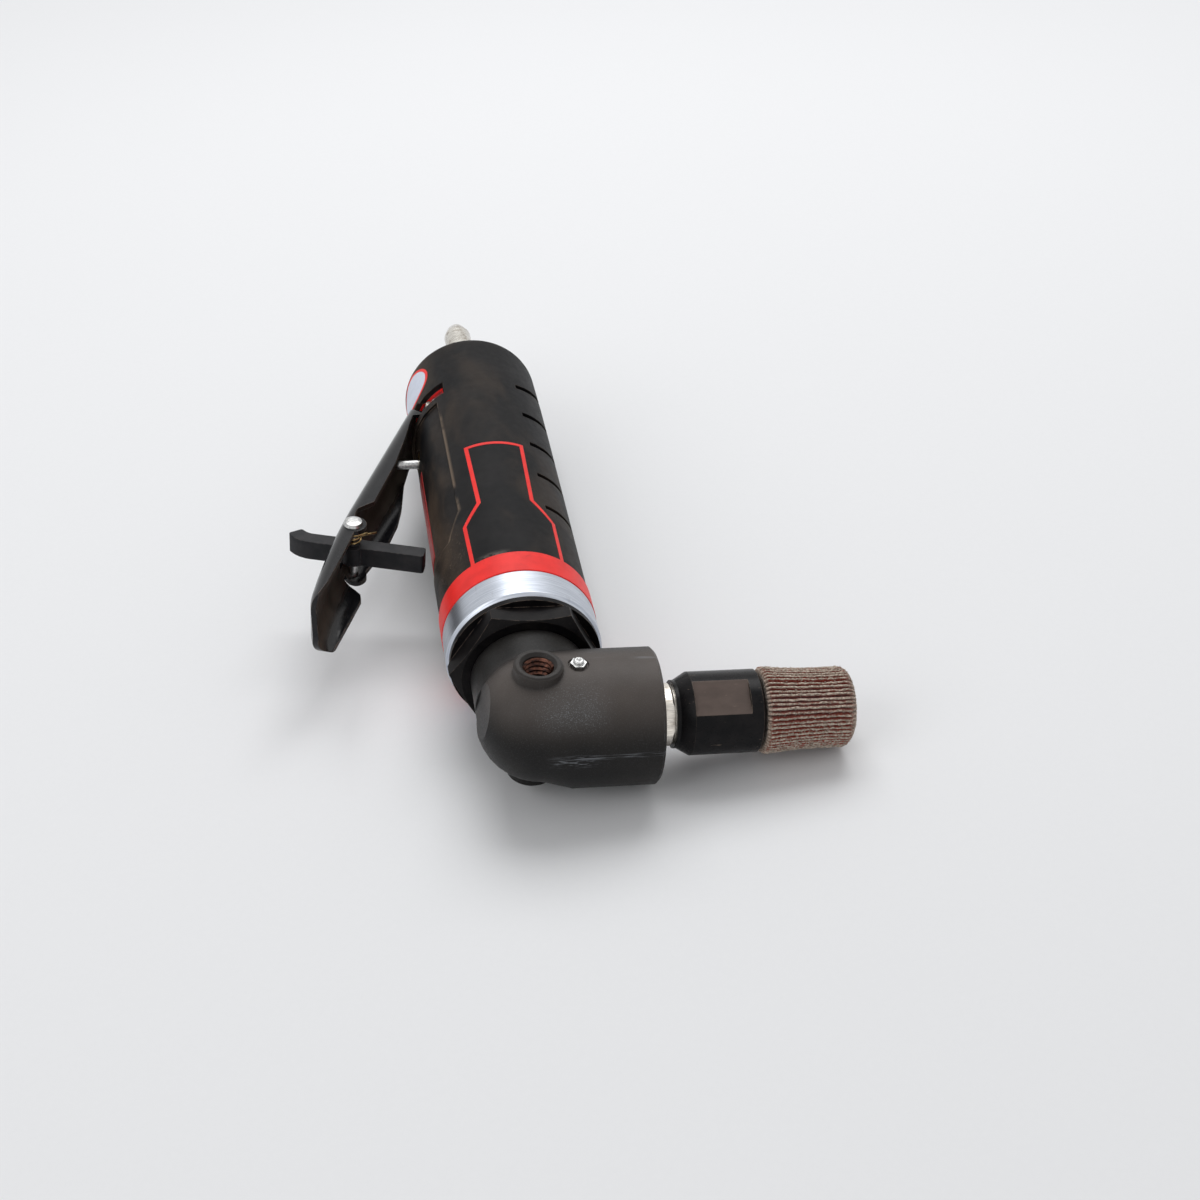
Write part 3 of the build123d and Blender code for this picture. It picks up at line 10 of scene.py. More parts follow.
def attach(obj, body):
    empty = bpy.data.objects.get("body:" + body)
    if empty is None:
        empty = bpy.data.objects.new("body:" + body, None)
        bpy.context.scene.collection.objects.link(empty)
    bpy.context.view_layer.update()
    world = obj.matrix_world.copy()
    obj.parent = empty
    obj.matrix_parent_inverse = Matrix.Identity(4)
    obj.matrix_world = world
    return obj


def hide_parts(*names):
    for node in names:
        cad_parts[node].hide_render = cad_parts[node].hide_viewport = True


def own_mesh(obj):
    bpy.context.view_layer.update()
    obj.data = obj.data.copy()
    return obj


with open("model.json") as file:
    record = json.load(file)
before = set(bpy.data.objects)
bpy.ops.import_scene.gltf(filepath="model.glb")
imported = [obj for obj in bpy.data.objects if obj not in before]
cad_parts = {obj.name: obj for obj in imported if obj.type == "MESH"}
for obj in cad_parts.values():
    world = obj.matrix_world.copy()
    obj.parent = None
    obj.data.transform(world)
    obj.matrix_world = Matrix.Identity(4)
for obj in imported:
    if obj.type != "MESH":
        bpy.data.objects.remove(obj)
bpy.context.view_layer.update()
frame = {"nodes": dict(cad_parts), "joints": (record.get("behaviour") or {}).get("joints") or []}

NODES = frame["nodes"]
JOINTS = {joint["name"]: joint for joint in frame["joints"]}

# Tool frame in millimetres: the motor axis on Y, the spindle axis on X, both through its origin
SPINDLE_JOINT_X = 0.017
AXIS_X = Vector(JOINTS["spindle_spin"]["axis"]).normalized()
AXIS_Y = Vector(JOINTS["rotor_spin"]["axis"]).normalized()
AXIS_Z = AXIS_X.cross(AXIS_Y)
ORIGIN = Vector(JOINTS["spindle_spin"]["pos_m"]) - SPINDLE_JOINT_X * AXIS_X
TURN = Matrix((AXIS_X, AXIS_Y, AXIS_Z)).transposed()
TOOL = Matrix.Translation(ORIGIN) @ TURN.to_4x4() @ Matrix.Scale(0.001, 4)

# Sizes that the added pieces take from the part
BOSS_AT = (-1.1, -1.5)
BOSS_TOP = 17.0
BOSS_FOOT = -13.4
BOSS_R = 5.4
BOSS_HOLE_R = 3.4
BOSS_HOLE_DEPTH = 6.7
BOSS_MOUTH = 0.7
COLLET_NUT_FLATS = 16.8
COLLET_NUT_FLAT = (33.5, 46.0)
COLLET_NUT_TURN = 28.0
WHEEL = (49.7, 70.6)
WHEEL_R = 10.0
WHEEL_ROUND = 2.6
WHEEL_WAIST = 0.35
WHEEL_EDGE = 0.8
CORE_R = 4.6
RING_END = 31.2
BAND_END = 38.9
SLEEVE_FRONT_R = 17.8
SLEEVE_R = 18.15
SLEEVE_REAR_R = 18.0
SLEEVE_FULL = (108.0, 123.0)
SLEEVE_ROUND_Y = 138.6
PANEL = (54.2, 62.6, 114.0)
PANEL_HALF_Z = (10.1, 13.6)
VALVE_Y = 105.4
VALVE_SPRING = (0.75, 11.0)
VALVE_COIL_R = 3.0
VALVE_WIRE_R = 0.45
VALVE_TURNS = 4
TAB_SPRING_AT = (-36.38, 66.40, 3.08)
FRONT_ANGLE = 15.77
SPRING_R = 1.74
SPRING_WIRE_R = 0.28
SPRING_PITCH = 1.15
SPRING_TURNS = 2.5
SPRING_LEG_ANGLE = 32.0
FELT_Y = (134.25, 138.0)

# Springs: points of the tab spring's legs, measured from its winding, and steps of the wire
SPRING_LONG_LEG = (6.5, 3.0)
SPRING_SHORT_LEG = (1.5, 3.0)
SPRING_STEPS = 60
VALVE_STEPS = 120

# Felt: its radii lie a little within its seat, and its skin is matted
FELT_R = (9.72, 12.2, 14.75)
FELT_MAT = 0.05
FELT_RIPPLE = 0.03
FELT_STEPS = 72

# Flap wheel: taper towards its free end, and the cross-section of a flap as (reach, thickness)
WHEEL_TAPER = 0.7
FLAPS = 56
FLAP_ROWS = 44
FLAP_ROOT = CORE_R + 0.1
FLAP_SECTION = ((FLAP_ROOT, 0.3), (7.2, 0.56), (8.5, 0.9), (8.95, 0.94), (9.3, 0.66), (9.6, 0.54),
                (9.88, 0.42), (WHEEL_R, 0.22))
FLAP_GAP = 0.12
FLAP_LEAN = 0.1

# Uneven flaps: loss of radius, ripple of the edge, sideways sway and wave, roughness of the faces
FLAP_WORN = 0.2
FLAP_RIPPLE = 0.16
FLAP_SWAY = 0.16
FLAP_WAVE = 0.2
FLAP_FUZZ = 0.13

# Loose threads of a flap: depth of the root, spread across the edge, rise and bend of both halves
FLAP_FIBRES = 44
FIBRE_X = (WHEEL[0] + 0.4, WHEEL[1] - 0.5)
FIBRE_ROOT = (0.35, 0.6)
FIBRE_SPREAD = 0.22
FIBRE_RISE = (0.12, 0.26)
FIBRE_BEND = (0.05, 0.2)
FIBRE_TIP_RISE = (-0.06, 0.08)
FIBRE_TIP_BEND = (0.15, 0.4)
FIBRE_R = (0.04, 0.07)
FIBRE_SIDES = 3

# Threads of the side holes: half widths at root and crest, and how far the root is let into the wall
THREAD_PITCH = 1.5
THREAD_DEPTH = 0.5
THREAD_ROOT = 0.6
THREAD_CREST = 0.12
THREAD_BITE = 0.02
THREAD_STEPS = 40

# Marks on the grip: corners as (degrees from the top, y), and heights over the grip
STRIPE_CORNERS = ((-36.5, BAND_END - 0.2), (-37.5, 54.7), (-22.5, 61.6), (-24.0, 86.3),
                  (21.5, 86.5), (19.5, 61.6), (35.3, 54.6), (35.0, BAND_END - 0.2))
STRIPE_HALF = 0.52
STRIPE_STEP = 0.7
STRIPE_MITRE = 0.3
STRIPE_FOOT = -0.08
STRIPE_TOP = 0.02
BADGE_TURN = -68.5
BADGE_Y = 131.1
BADGE_R = 7.3
BADGE_RIM = 0.9
BADGE_FACE_TOP = 0.05
BADGE_RIM_TOP = 0.06
BADGE_MIDDLE = 0.01
BADGE_STEPS = 64
BADGE_RINGS = 8

# Stage: colours as display values, places and sizes in metres
FLOOR_COLOR = (232, 233, 235)
FLOOR_SHADE = (230, 231, 233)
FLOOR_HALF = 3.0
FLOOR_GLOW_MM = (350.0, 800.0)
WORLD_RISE = (-0.1, 0.9)
WORLD_LIGHT = (0.3, 0.5)
WORLD_SEEN = 0.9
LAMP_TARGET = (0, 0, 0.02)
KEY_AT = (0.15, 0.5, 0.95)
KEY_SIZE = (0.9, 0.7)
KEY_POWER = 7.6
FILL_AT = (-0.75, -0.45, 0.7)
FILL_SIZE = (0.7, 0.7)
FILL_POWER = 2.2

# Camera in the tool frame: millimetres and degrees
CAMERA_AT = (-56.896, -304.344, 259.789)
CAMERA_TURN = (53.7656, -4.4339, -9.3807)
CAMERA_LENS = 55.21
CAMERA_SENSOR = 36.0


def srgb(red, green, blue):
    """Linear colour with alpha from display values of 0 to 255."""
    linear = []
    for value in (red, green, blue):
        share = value / 255
        linear.append(share / 12.92 if share <= 0.04045 else ((share + 0.055) / 1.055) ** 2.4)
    return (*linear, 1.0)


class Shader:
    """Node material that has the tool's millimetre coordinates at hand."""

    def __init__(self, name):
        self.material = bpy.data.materials.new(name)
        self.material.use_nodes = True
        self.tree = self.material.node_tree
        self.bsdf = self.tree.nodes["Principled BSDF"]
        coordinates = self.add("ShaderNodeTexCoord")
        place = self.add("ShaderNodeMapping")
        place.vector_type = "TEXTURE"
        place.inputs["Location"].default_value = ORIGIN
        place.inputs["Rotation"].default_value = TURN.to_euler()
        place.inputs["Scale"].default_value = (0.001, 0.001, 0.001)
        self.link(coordinates.outputs["Object"], place.inputs["Vector"])
        self.point = place.outputs["Vector"]
        split = self.add("ShaderNodeSeparateXYZ")
        self.link(self.point, split.inputs[0])
        self.x = split.outputs["X"]
        self.y = split.outputs["Y"]
        self.z = split.outputs["Z"]

    def add(self, kind):
        return self.tree.nodes.new(kind)

    def link(self, source, target):
        self.tree.links.new(source, target)

    def feed(self, value, target):
        """Link a socket, or set a plain value."""
        if isinstance(value, bpy.types.NodeSocket):
            self.link(value, target)
        else:
            target.default_value = value

    def math(self, operation, first, second=0.0):
        node = self.add("ShaderNodeMath")
        node.operation = operation
        self.feed(first, node.inputs[0])
        self.feed(second, node.inputs[1])
        return node.outputs[0]

    def times(self, first, second):
        return self.math("MULTIPLY", first, second)

    def most(self, first, second):
        return self.math("MAXIMUM", first, second)

    def step(self, value, low, high):
        """Smooth rise from 0 at low to 1 at high; low may be the larger."""
        node = self.add("ShaderNodeMapRange")
        node.interpolation_type = "SMOOTHSTEP"
        self.feed(value, node.inputs["Value"])
        node.inputs["From Min"].default_value = min(low, high)
        node.inputs["From Max"].default_value = max(low, high)
        node.inputs["To Min"].default_value = 0.0 if low < high else 1.0
        node.inputs["To Max"].default_value = 1.0 if low < high else 0.0
        return node.outputs["Result"]

    def between(self, value, low, high):
        """Even map of noise values 0 to 1 onto low to high."""
        node = self.add("ShaderNodeMapRange")
        self.feed(value, node.inputs["Value"])
        node.inputs["To Min"].default_value = low
        node.inputs["To Max"].default_value = high
        return node.outputs["Result"]

    def window(self, value, low, high, soft):
        """One between low and high, with soft ends."""
        rise = self.step(value, low - soft, low + soft)
        return self.times(rise, self.step(value, high + soft, high - soft))

    def off(self, value, middle):
        """Distance of a value from a middle."""
        return self.math("ABSOLUTE", self.math("SUBTRACT", value, middle))

    def mapped(self, stretch, shift):
        """Stretched and shifted coordinates for a texture."""
        place = self.add("ShaderNodeMapping")
        place.inputs["Scale"].default_value = stretch
        place.inputs["Location"].default_value = (shift, shift * 0.7, -shift)
        self.link(self.point, place.inputs["Vector"])
        return place.outputs["Vector"]

    def noise(self, scale, detail=3.0, stretch=(1, 1, 1), shift=0.0, distortion=0.0):
        """Noise with about scale features to the millimetre."""
        node = self.add("ShaderNodeTexNoise")
        node.inputs["Scale"].default_value = scale
        node.inputs["Detail"].default_value = detail
        node.inputs["Distortion"].default_value = distortion
        self.link(self.mapped(stretch, shift), node.inputs["Vector"])
        return node.outputs["Fac"]

    def spots(self, scale, stretch=(1, 1, 1)):
        """Distance to the nearest of scattered points."""
        node = self.add("ShaderNodeTexVoronoi")
        node.inputs["Scale"].default_value = scale
        self.link(self.mapped(stretch, 0.0), node.inputs["Vector"])
        return node.outputs["Distance"]

    def mix(self, share, first, second):
        node = self.add("ShaderNodeMix")
        node.data_type = "RGBA"
        self.feed(share, node.inputs[0])
        self.feed(first, node.inputs[6])
        self.feed(second, node.inputs[7])
        return node.outputs[2]

    def around(self):
        """Angle about the motor axis in degrees: 0 on top, positive towards the spindle nose."""
        return self.times(self.math("ARCTAN2", self.x, self.z), 180 / math.pi)

    def eased(self, radius):
        """Normal of the surface with its edges eased by radius millimetres."""
        bevel = self.add("ShaderNodeBevel")
        bevel.samples = 8
        bevel.inputs["Radius"].default_value = radius * 0.001
        return bevel.outputs["Normal"]

    def facing(self, direction):
        """How far the surface faces a direction: 1 straight at it, -1 straight away."""
        geometry = self.add("ShaderNodeNewGeometry")
        dot = self.add("ShaderNodeVectorMath")
        dot.operation = "DOT_PRODUCT"
        self.link(geometry.outputs["Normal"], dot.inputs[0])
        self.feed(direction, dot.inputs[1])
        return dot.outputs["Value"]

    def edge(self, radius):
        """One on sharp edges, with wear as wide as radius."""
        return self.step(self.facing(self.eased(radius)), 0.995, 0.9)

    def relief(self, height, depth, round_edge=0.0):
        """Bump of depth millimetres over edges eased by round_edge."""
        bump = self.add("ShaderNodeBump")
        bump.inputs["Strength"].default_value = 1.0
        bump.inputs["Distance"].default_value = depth * 0.001
        self.link(height, bump.inputs["Height"])
        if round_edge:
            self.link(self.eased(round_edge), bump.inputs["Normal"])
        self.link(bump.outputs["Normal"], self.bsdf.inputs["Normal"])

    def finish(self, color, roughness, metallic=0.0, specular=0.5):
        self.feed(color, self.bsdf.inputs["Base Color"])
        self.feed(roughness, self.bsdf.inputs["Roughness"])
        self.feed(metallic, self.bsdf.inputs["Metallic"])
        self.bsdf.inputs["Specular IOR Level"].default_value = specular
        return self.material


# Materials

def black_anodised():
    """Cast head: a painted highlight on top, a small speckled painted highlight and scuffs at the front,
    chipped edges.
    """
    s = Shader("black_anodised")
    grain = s.noise(5.5, 2)
    color = s.mix(s.step(s.noise(0.1, 4), 0.3, 0.75), srgb(20, 19, 19), srgb(29, 27, 25))
    # Painted highlight: the top of the head is lighter, as if lit from above, and less so on the boss.
    upper = s.times(s.step(s.z, 3.0, 14.0), s.step(s.y, 9.0, 2.0))
    across = s.math("SUBTRACT", s.x, BOSS_AT[0])
    along = s.math("SUBTRACT", s.y, BOSS_AT[1])
    reach = s.math("SQRT", s.math("ADD", s.times(across, across), s.times(along, along)))
    upper = s.times(upper, s.between(s.step(reach, BOSS_R - 0.4, BOSS_R + 0.7), 0.25, 1.0))
    painted_top_highlight = s.times(upper, s.between(s.noise(0.12, 4, shift=3.0), 0.55, 1.0))
    color = s.mix(s.times(painted_top_highlight, 0.85), color, srgb(94, 87, 83))
    # Painted highlight at the front of the barrel, with painted speckles inside it.
    painted_glint = s.times(s.window(s.x, -1.0, 12.0, 4.0), s.window(s.z, 8.5, 13.5, 2.5))
    painted_glint = s.times(painted_glint, s.step(s.y, -2.0, -6.0))
    color = s.mix(s.times(painted_glint, 0.2), color, srgb(104, 107, 110))
    painted_sparkle = s.step(s.noise(4.2, 3, shift=5.0), 0.54, 0.68)
    color = s.mix(s.times(painted_sparkle, s.between(painted_glint, 0.06, 0.6)), color, srgb(132, 136, 139))
    marks = s.step(s.noise(1.1, 4, (0.12, 0.4, 2.6), shift=4.0), 0.5, 0.62)
    line = s.times(s.times(s.window(s.z, 1.3, 2.2, 0.4), marks), s.step(s.x, -1.0, 4.0))
    patch = s.times(s.window(s.x, 1.5, 10.0, 2.0), s.window(s.z, -0.6, 2.0, 0.9))
    flecks = s.times(patch, s.step(s.noise(2.6, 6, (0.22, 1, 1.1), shift=7.0, distortion=0.2), 0.48, 0.7))
    scuff = s.times(s.step(s.y, -10.0, -13.0), s.most(line, flecks))
    marks = s.step(s.noise(0.8, 4, (0.15, 1, 1.5), shift=2.0), 0.45, 0.66)
    streak = s.times(s.window(s.y, 1.3, 2.2, 0.5), marks)
    streak = s.times(streak, s.times(s.step(s.x, 9.0, 14.0), s.step(s.z, 8.0, 10.0)))
    scuff = s.most(s.times(scuff, 0.46), s.times(streak, 0.3))
    worn = s.between(s.step(s.x, 23.0, 24.5), 0.06, 0.45)
    chips = s.times(s.edge(0.3), s.times(worn, s.step(s.noise(0.8, 4, shift=9.0), 0.45, 0.62)))
    color = s.mix(s.most(scuff, chips), color, srgb(142, 146, 152))
    rough = s.between(s.noise(1.6, 4), 0.36, 0.54)
    s.relief(s.math("ADD", grain, s.times(s.noise(1.2, 3), 0.5)), 0.03, round_edge=0.3)
    return s.finish(color, rough, specular=0.18)


def black_oxide():
    """Oiled black steel with fine tool marks and rubbed edges."""
    s = Shader("black_oxide")
    color = s.mix(s.step(s.noise(0.3, 4), 0.3, 0.7), srgb(12, 11, 13), srgb(24, 22, 22))
    lines = s.noise(2.5, 3, (0.2, 4.0, 4.0))
    color = s.mix(s.times(s.step(lines, 0.6, 0.72), 0.25), color, srgb(84, 76, 70))
    rim = s.times(s.edge(0.22), s.step(s.noise(0.6, 3, shift=2.0), 0.35, 0.6))
    color = s.mix(s.times(rim, 0.6), color, srgb(136, 120, 108))
    rough = s.between(s.noise(1.4, 4), 0.24, 0.42)
    s.relief(s.noise(3.0, 3), 0.01, round_edge=0.2)
    return s.finish(color, rough, metallic=0.05, specular=0.08)


def flats_wear_and_reflection():
    """Black oxide whose two wrench flats are rubbed to a dull brown, which also serves as a painted
    reflection.
    """
    s = Shader("flats_wear_and_reflection")
    lean = math.radians(COLLET_NUT_TURN)
    height = s.math("SUBTRACT", s.times(s.z, math.cos(lean)), s.times(s.y, math.sin(lean)))
    away = s.off(s.math("ABSOLUTE", height), COLLET_NUT_FLATS / 2)
    flat = s.times(s.step(away, 0.06, 0.02), s.window(s.x, *COLLET_NUT_FLAT, 0.1))
    color = s.mix(s.step(s.noise(0.3, 4), 0.3, 0.7), srgb(12, 12, 14), srgb(24, 22, 23))
    # Colour of the flats: rubbed wear together with a painted reflection of the surroundings.
    rub_and_reflection = s.between(s.noise(0.5, 4, (0.5, 1, 1), shift=6.0), 0.5, 0.9)
    color = s.mix(s.times(flat, rub_and_reflection), color, srgb(106, 93, 87))
    rim = s.times(s.edge(0.25), s.step(s.noise(0.5, 3, shift=2.0), 0.3, 0.55))
    rim = s.times(rim, s.step(s.x, COLLET_NUT_FLAT[0] - 0.6, COLLET_NUT_FLAT[0] - 0.2))
    scratch = s.step(s.noise(0.9, 3, (0.3, 1.6, 1.6), shift=12.0, distortion=1.0), 0.7, 0.74)
    color = s.mix(s.times(s.most(rim, scratch), 0.6), color, srgb(142, 126, 113))
    rough = s.most(s.between(s.noise(1.4, 4), 0.22, 0.36), s.times(flat, 0.42))
    s.relief(s.noise(3.0, 3), 0.01, round_edge=0.2)
    return s.finish(color, rough, metallic=0.05, specular=0.12)


def black_enamel():
    """Paint of the lever: glossy outside, dusty inside."""
    s = Shader("black_enamel")
    inner = s.step(s.facing(AXIS_X), 0.25, 0.8)
    clouds = s.step(s.noise(0.22, 5, shift=6.0), 0.3, 0.7)
    dust = s.times(inner, s.between(clouds, 0.55, 1.0))
    color = s.mix(s.noise(0.4, 3), srgb(13, 14, 17), srgb(24, 24, 27))
    color = s.mix(s.times(dust, 0.8), color, srgb(72, 63, 54))
    rim = s.times(s.edge(0.22), s.step(s.noise(0.5, 4, shift=3.0), 0.42, 0.62))
    color = s.mix(s.times(rim, 0.7), color, srgb(126, 106, 92))
    rough = s.most(s.between(s.noise(0.8, 4), 0.12, 0.26), s.times(dust, 0.75))
    s.relief(s.noise(1.3, 3), 0.014, round_edge=0.3)
    return s.finish(color, rough, specular=0.26)


def tab_black():
    """Grained black of the lock-off tab."""
    s = Shader("tab_black")
    grain = s.noise(3.5, 3)
    color = s.mix(s.step(s.noise(0.35, 4), 0.3, 0.7), srgb(28, 29, 32), srgb(42, 41, 43))
    rim = s.times(s.edge(0.25), s.step(s.noise(0.7, 3), 0.4, 0.65))
    color = s.mix(s.times(rim, 0.5), color, srgb(112, 106, 102))
    s.relief(grain, 0.03, round_edge=0.35)
    return s.finish(color, s.between(grain, 0.42, 0.62), specular=0.18)


def steel(name, light, dark, low, high, lines=(1, 1, 1), scale=3.0, tint=None):
    """Ground or turned steel whose tool marks run the way that lines is small."""
    s = Shader(name)
    marks = s.noise(scale, 3, lines)
    color = s.mix(s.step(marks, 0.3, 0.7), light, dark)
    if tint:
        stain = s.step(s.noise(0.5, 4, shift=5.0), 0.48, 0.7)
        color = s.mix(s.times(stain, 0.6), color, tint)
    rough = s.between(s.noise(0.9, 4, shift=8.0), low, high)
    s.relief(marks, 0.003, round_edge=0.15)
    return s.finish(color, rough, metallic=1.0)


def turned_aluminium():
    """Fine turning rings with a few stains."""
    s = Shader("turned_aluminium")
    rings = s.noise(7.0, 2, (0.02, 1.0, 0.02))
    stain = s.step(s.noise(0.4, 5, (1, 0.4, 1), shift=3.0, distortion=0.8), 0.62, 0.78)
    color = s.mix(s.step(rings, 0.35, 0.65), srgb(198, 203, 212), srgb(172, 178, 189))
    color = s.mix(s.times(stain, 0.3), color, srgb(116, 110, 104))
    rough = s.math("ADD", s.between(rings, 0.27, 0.4), s.times(stain, 0.12))
    s.relief(rings, 0.008, round_edge=0.12)
    return s.finish(color, rough, metallic=1.0)


def red_nylon():
    """Moulded red with a seam, some grime and painted shade in the strip under the lever."""
    s = Shader("red_nylon")
    color = s.mix(s.step(s.noise(0.25, 4), 0.3, 0.75), srgb(238, 40, 34), srgb(222, 32, 28))
    grime = s.step(s.noise(0.5, 6, shift=7.0, distortion=0.6), 0.62, 0.8)
    seam = s.step(s.off(s.y, RING_END), 0.3, 0.0)
    color = s.mix(s.times(s.most(seam, s.times(grime, 0.5)), 0.4), color, srgb(110, 22, 20))
    # Painted shade: the red is darker in the strip under the lever.
    under = s.times(s.step(s.x, -14.5, -16.5), s.window(s.y, 44.0, 112.0, 2.0))
    color = s.mix(s.times(under, 0.6), color, srgb(74, 20, 17))
    s.relief(s.noise(2.4, 3), 0.012, round_edge=0.15)
    return s.finish(color, s.between(s.noise(1.1, 4), 0.36, 0.5), specular=0.28)


def grip_rubber():
    """Soft black with a film of dust on the lever's side, flecks and pale worn rims."""
    s = Shader("grip_rubber")
    angle = s.around()
    grain = s.noise(6.0, 2)
    color = s.mix(s.step(s.noise(0.1, 4), 0.35, 0.7), srgb(14, 14, 16), srgb(23, 22, 23))
    left = s.step(angle, -28.0, -70.0)
    film = s.times(left, s.step(s.noise(0.09, 6, (1, 0.5, 1), shift=2.0, distortion=0.7), 0.34, 0.64))
    haze = s.times(s.step(s.noise(0.06, 5, (1, 0.7, 1), shift=11.0, distortion=0.5), 0.46, 0.7), 0.24)
    color = s.mix(s.most(s.times(film, 0.7), haze), color, srgb(82, 69, 58))
    patch = s.times(s.window(s.y, 40, 58, 5.0), s.window(angle, -80, -42, 10.0))
    flecks = s.times(patch, s.step(s.noise(2.2, 4, (1, 0.6, 1), shift=1.0, distortion=1.5), 0.6, 0.68))
    rim = s.times(s.edge(0.32), s.step(s.noise(0.3, 5, shift=5.0), 0.36, 0.6))
    rim = s.times(rim, s.between(left, 0.35, 1.0))
    rim = s.most(rim, s.times(panel_line(s), s.times(s.step(angle, -20.0, -36.0), 0.8)))
    color = s.mix(s.times(s.most(s.times(flecks, 0.6), rim), 0.66), color, srgb(136, 119, 103))
    smear = s.times(s.step(s.y, BAND_END + 2.4, BAND_END + 0.3), s.window(angle, -30.0, -10.0, 6.0))
    smear = s.times(smear, s.step(s.noise(0.7, 5, shift=13.0), 0.34, 0.6))
    color = s.mix(s.times(smear, 0.6), color, srgb(116, 110, 105))
    s.relief(s.math("ADD", grain, s.times(s.noise(1.5, 3), 0.5)), 0.025, round_edge=0.3)
    rough = s.between(s.noise(0.5, 4, shift=4.0), 0.44, 0.62)
    return s.finish(color, rough, specular=0.1)


def panel_line(s):
    """Dust that lies along the upper edge of the panel and its slanted corner."""
    front, corner, rear = PANEL
    low, high = PANEL_HALF_Z
    height = s.math("ABSOLUTE", s.z)
    straight = s.times(s.step(s.off(height, high), 0.7, 0.15), s.window(s.y, corner, rear, 0.3))
    slope = (high - low) / (corner - front)
    rise = s.times(s.math("SUBTRACT", s.y, front), slope)
    slant = s.step(s.off(s.math("SUBTRACT", height, low), rise), 0.7, 0.15)
    slant = s.times(slant, s.window(s.y, front, corner, 0.3))
    breaks = s.step(s.noise(0.12, 5, shift=8.0), 0.36, 0.56)
    return s.times(s.most(straight, slant), breaks)


def wheel_depth(s):
    """Depth below the worn outside of the flap wheel."""
    reach = s.math("SQRT", s.math("ADD", s.times(s.y, s.y), s.times(s.z, s.z)))
    start, end = WHEEL
    half = (end - WHEEL_ROUND - start - WHEEL_EDGE) / 2
    share = s.times(s.math("SUBTRACT", s.x, (start + end) / 2), 1 / half)
    waist = s.times(s.most(s.math("SUBTRACT", 1.0, s.times(share, share)), 0.0), WHEEL_WAIST)
    taper = s.times(s.math("SUBTRACT", s.x, start), WHEEL_TAPER / (end - start))
    outside = s.math("SUBTRACT", s.math("SUBTRACT", WHEEL_R, waist), taper)
    return s.math("SUBTRACT", outside, reach)


def abrasive_cloth():
    """Rust-coloured grit with pale threads along the worn edges, and painted shade deep between the
    flaps.
    """
    s = Shader("abrasive_cloth")
    depth = wheel_depth(s)
    weave = s.noise(5.0, 3)
    ragged = s.math("SUBTRACT", depth, s.times(s.noise(1.9, 4, shift=3.0), 0.9))
    near_end = s.step(s.x, WHEEL[0] + 1.3, WHEEL[0] + 0.4)
    far_end = s.step(s.x, WHEEL[1] - 2.4, WHEEL[1] - 0.9)
    ends = s.most(far_end, near_end)
    outer = s.most(s.step(ragged, 0.12, -0.18), s.times(ends, 0.85))
    grit = s.mix(s.step(weave, 0.35, 0.7), srgb(122, 46, 34), srgb(166, 76, 56))
    # Painted shade: the grit darkens deep down between the flaps.
    grit = s.mix(s.step(depth, 1.2, 2.2), grit, srgb(42, 24, 20))
    strands = s.step(s.noise(2.6, 4, (0.7, 1, 1), shift=6.0), 0.35, 0.65)
    thread = s.mix(strands, srgb(136, 120, 106), srgb(208, 194, 178))
    color = s.mix(outer, grit, thread)
    s.relief(s.math("ADD", weave, s.spots(2.2, (1.6, 1, 1))), 0.16)
    s.bsdf.inputs["Sheen Weight"].default_value = 0.2
    s.bsdf.inputs["Sheen Roughness"].default_value = 0.6
    return s.finish(color, s.between(weave, 0.8, 0.96), specular=0.15)


def frayed_thread():
    """Pale cotton with some grit left in it."""
    s = Shader("frayed_thread")
    strand = s.noise(1.4, 3)
    color = s.mix(s.step(strand, 0.3, 0.7), srgb(138, 124, 110), srgb(206, 196, 182))
    color = s.mix(s.step(s.noise(0.5, 3, shift=5.0), 0.62, 0.74), color, srgb(140, 76, 60))
    return s.finish(color, s.between(strand, 0.8, 0.95), specular=0.15)


def plain_moulded(name, first, second, low, high):
    """Evenly grained moulding in two close colours."""
    s = Shader(name)
    grain = s.noise(2.8, 4)
    color = s.mix(s.step(s.noise(0.4, 4), 0.3, 0.7), first, second)
    s.relief(grain, 0.02, round_edge=0.2)
    return s.finish(color, s.between(grain, low, high))


def felt_fibre():
    """Matted grey fibres."""
    s = Shader("felt")
    fibres = s.noise(3.0, 6, (1, 0.5, 1), distortion=2.0)
    color = s.mix(s.step(fibres, 0.3, 0.7), srgb(82, 80, 76), srgb(138, 134, 126))
    s.relief(fibres, 0.2)
    s.bsdf.inputs["Sheen Weight"].default_value = 0.3
    return s.finish(color, s.between(fibres, 0.85, 0.98), specular=0.2)


def oily_thread():
    """Steel under a brown film of oil."""
    s = Shader("oily_thread")
    film = s.noise(1.1, 4)
    color = s.mix(s.step(film, 0.35, 0.7), srgb(96, 62, 50), srgb(34, 23, 21))
    s.relief(s.noise(4.0, 3), 0.02)
    return s.finish(color, s.between(film, 0.14, 0.32), metallic=0.85)


def badge_white():
    """Smooth pale plastic."""
    s = Shader("badge_white")
    smear = s.noise(0.3, 5, shift=4.0, distortion=0.8)
    color = s.mix(s.step(smear, 0.4, 0.75), srgb(202, 209, 225), srgb(194, 201, 217))
    s.relief(s.noise(2.0, 3), 0.01)
    return s.finish(color, s.between(smear, 0.28, 0.42))


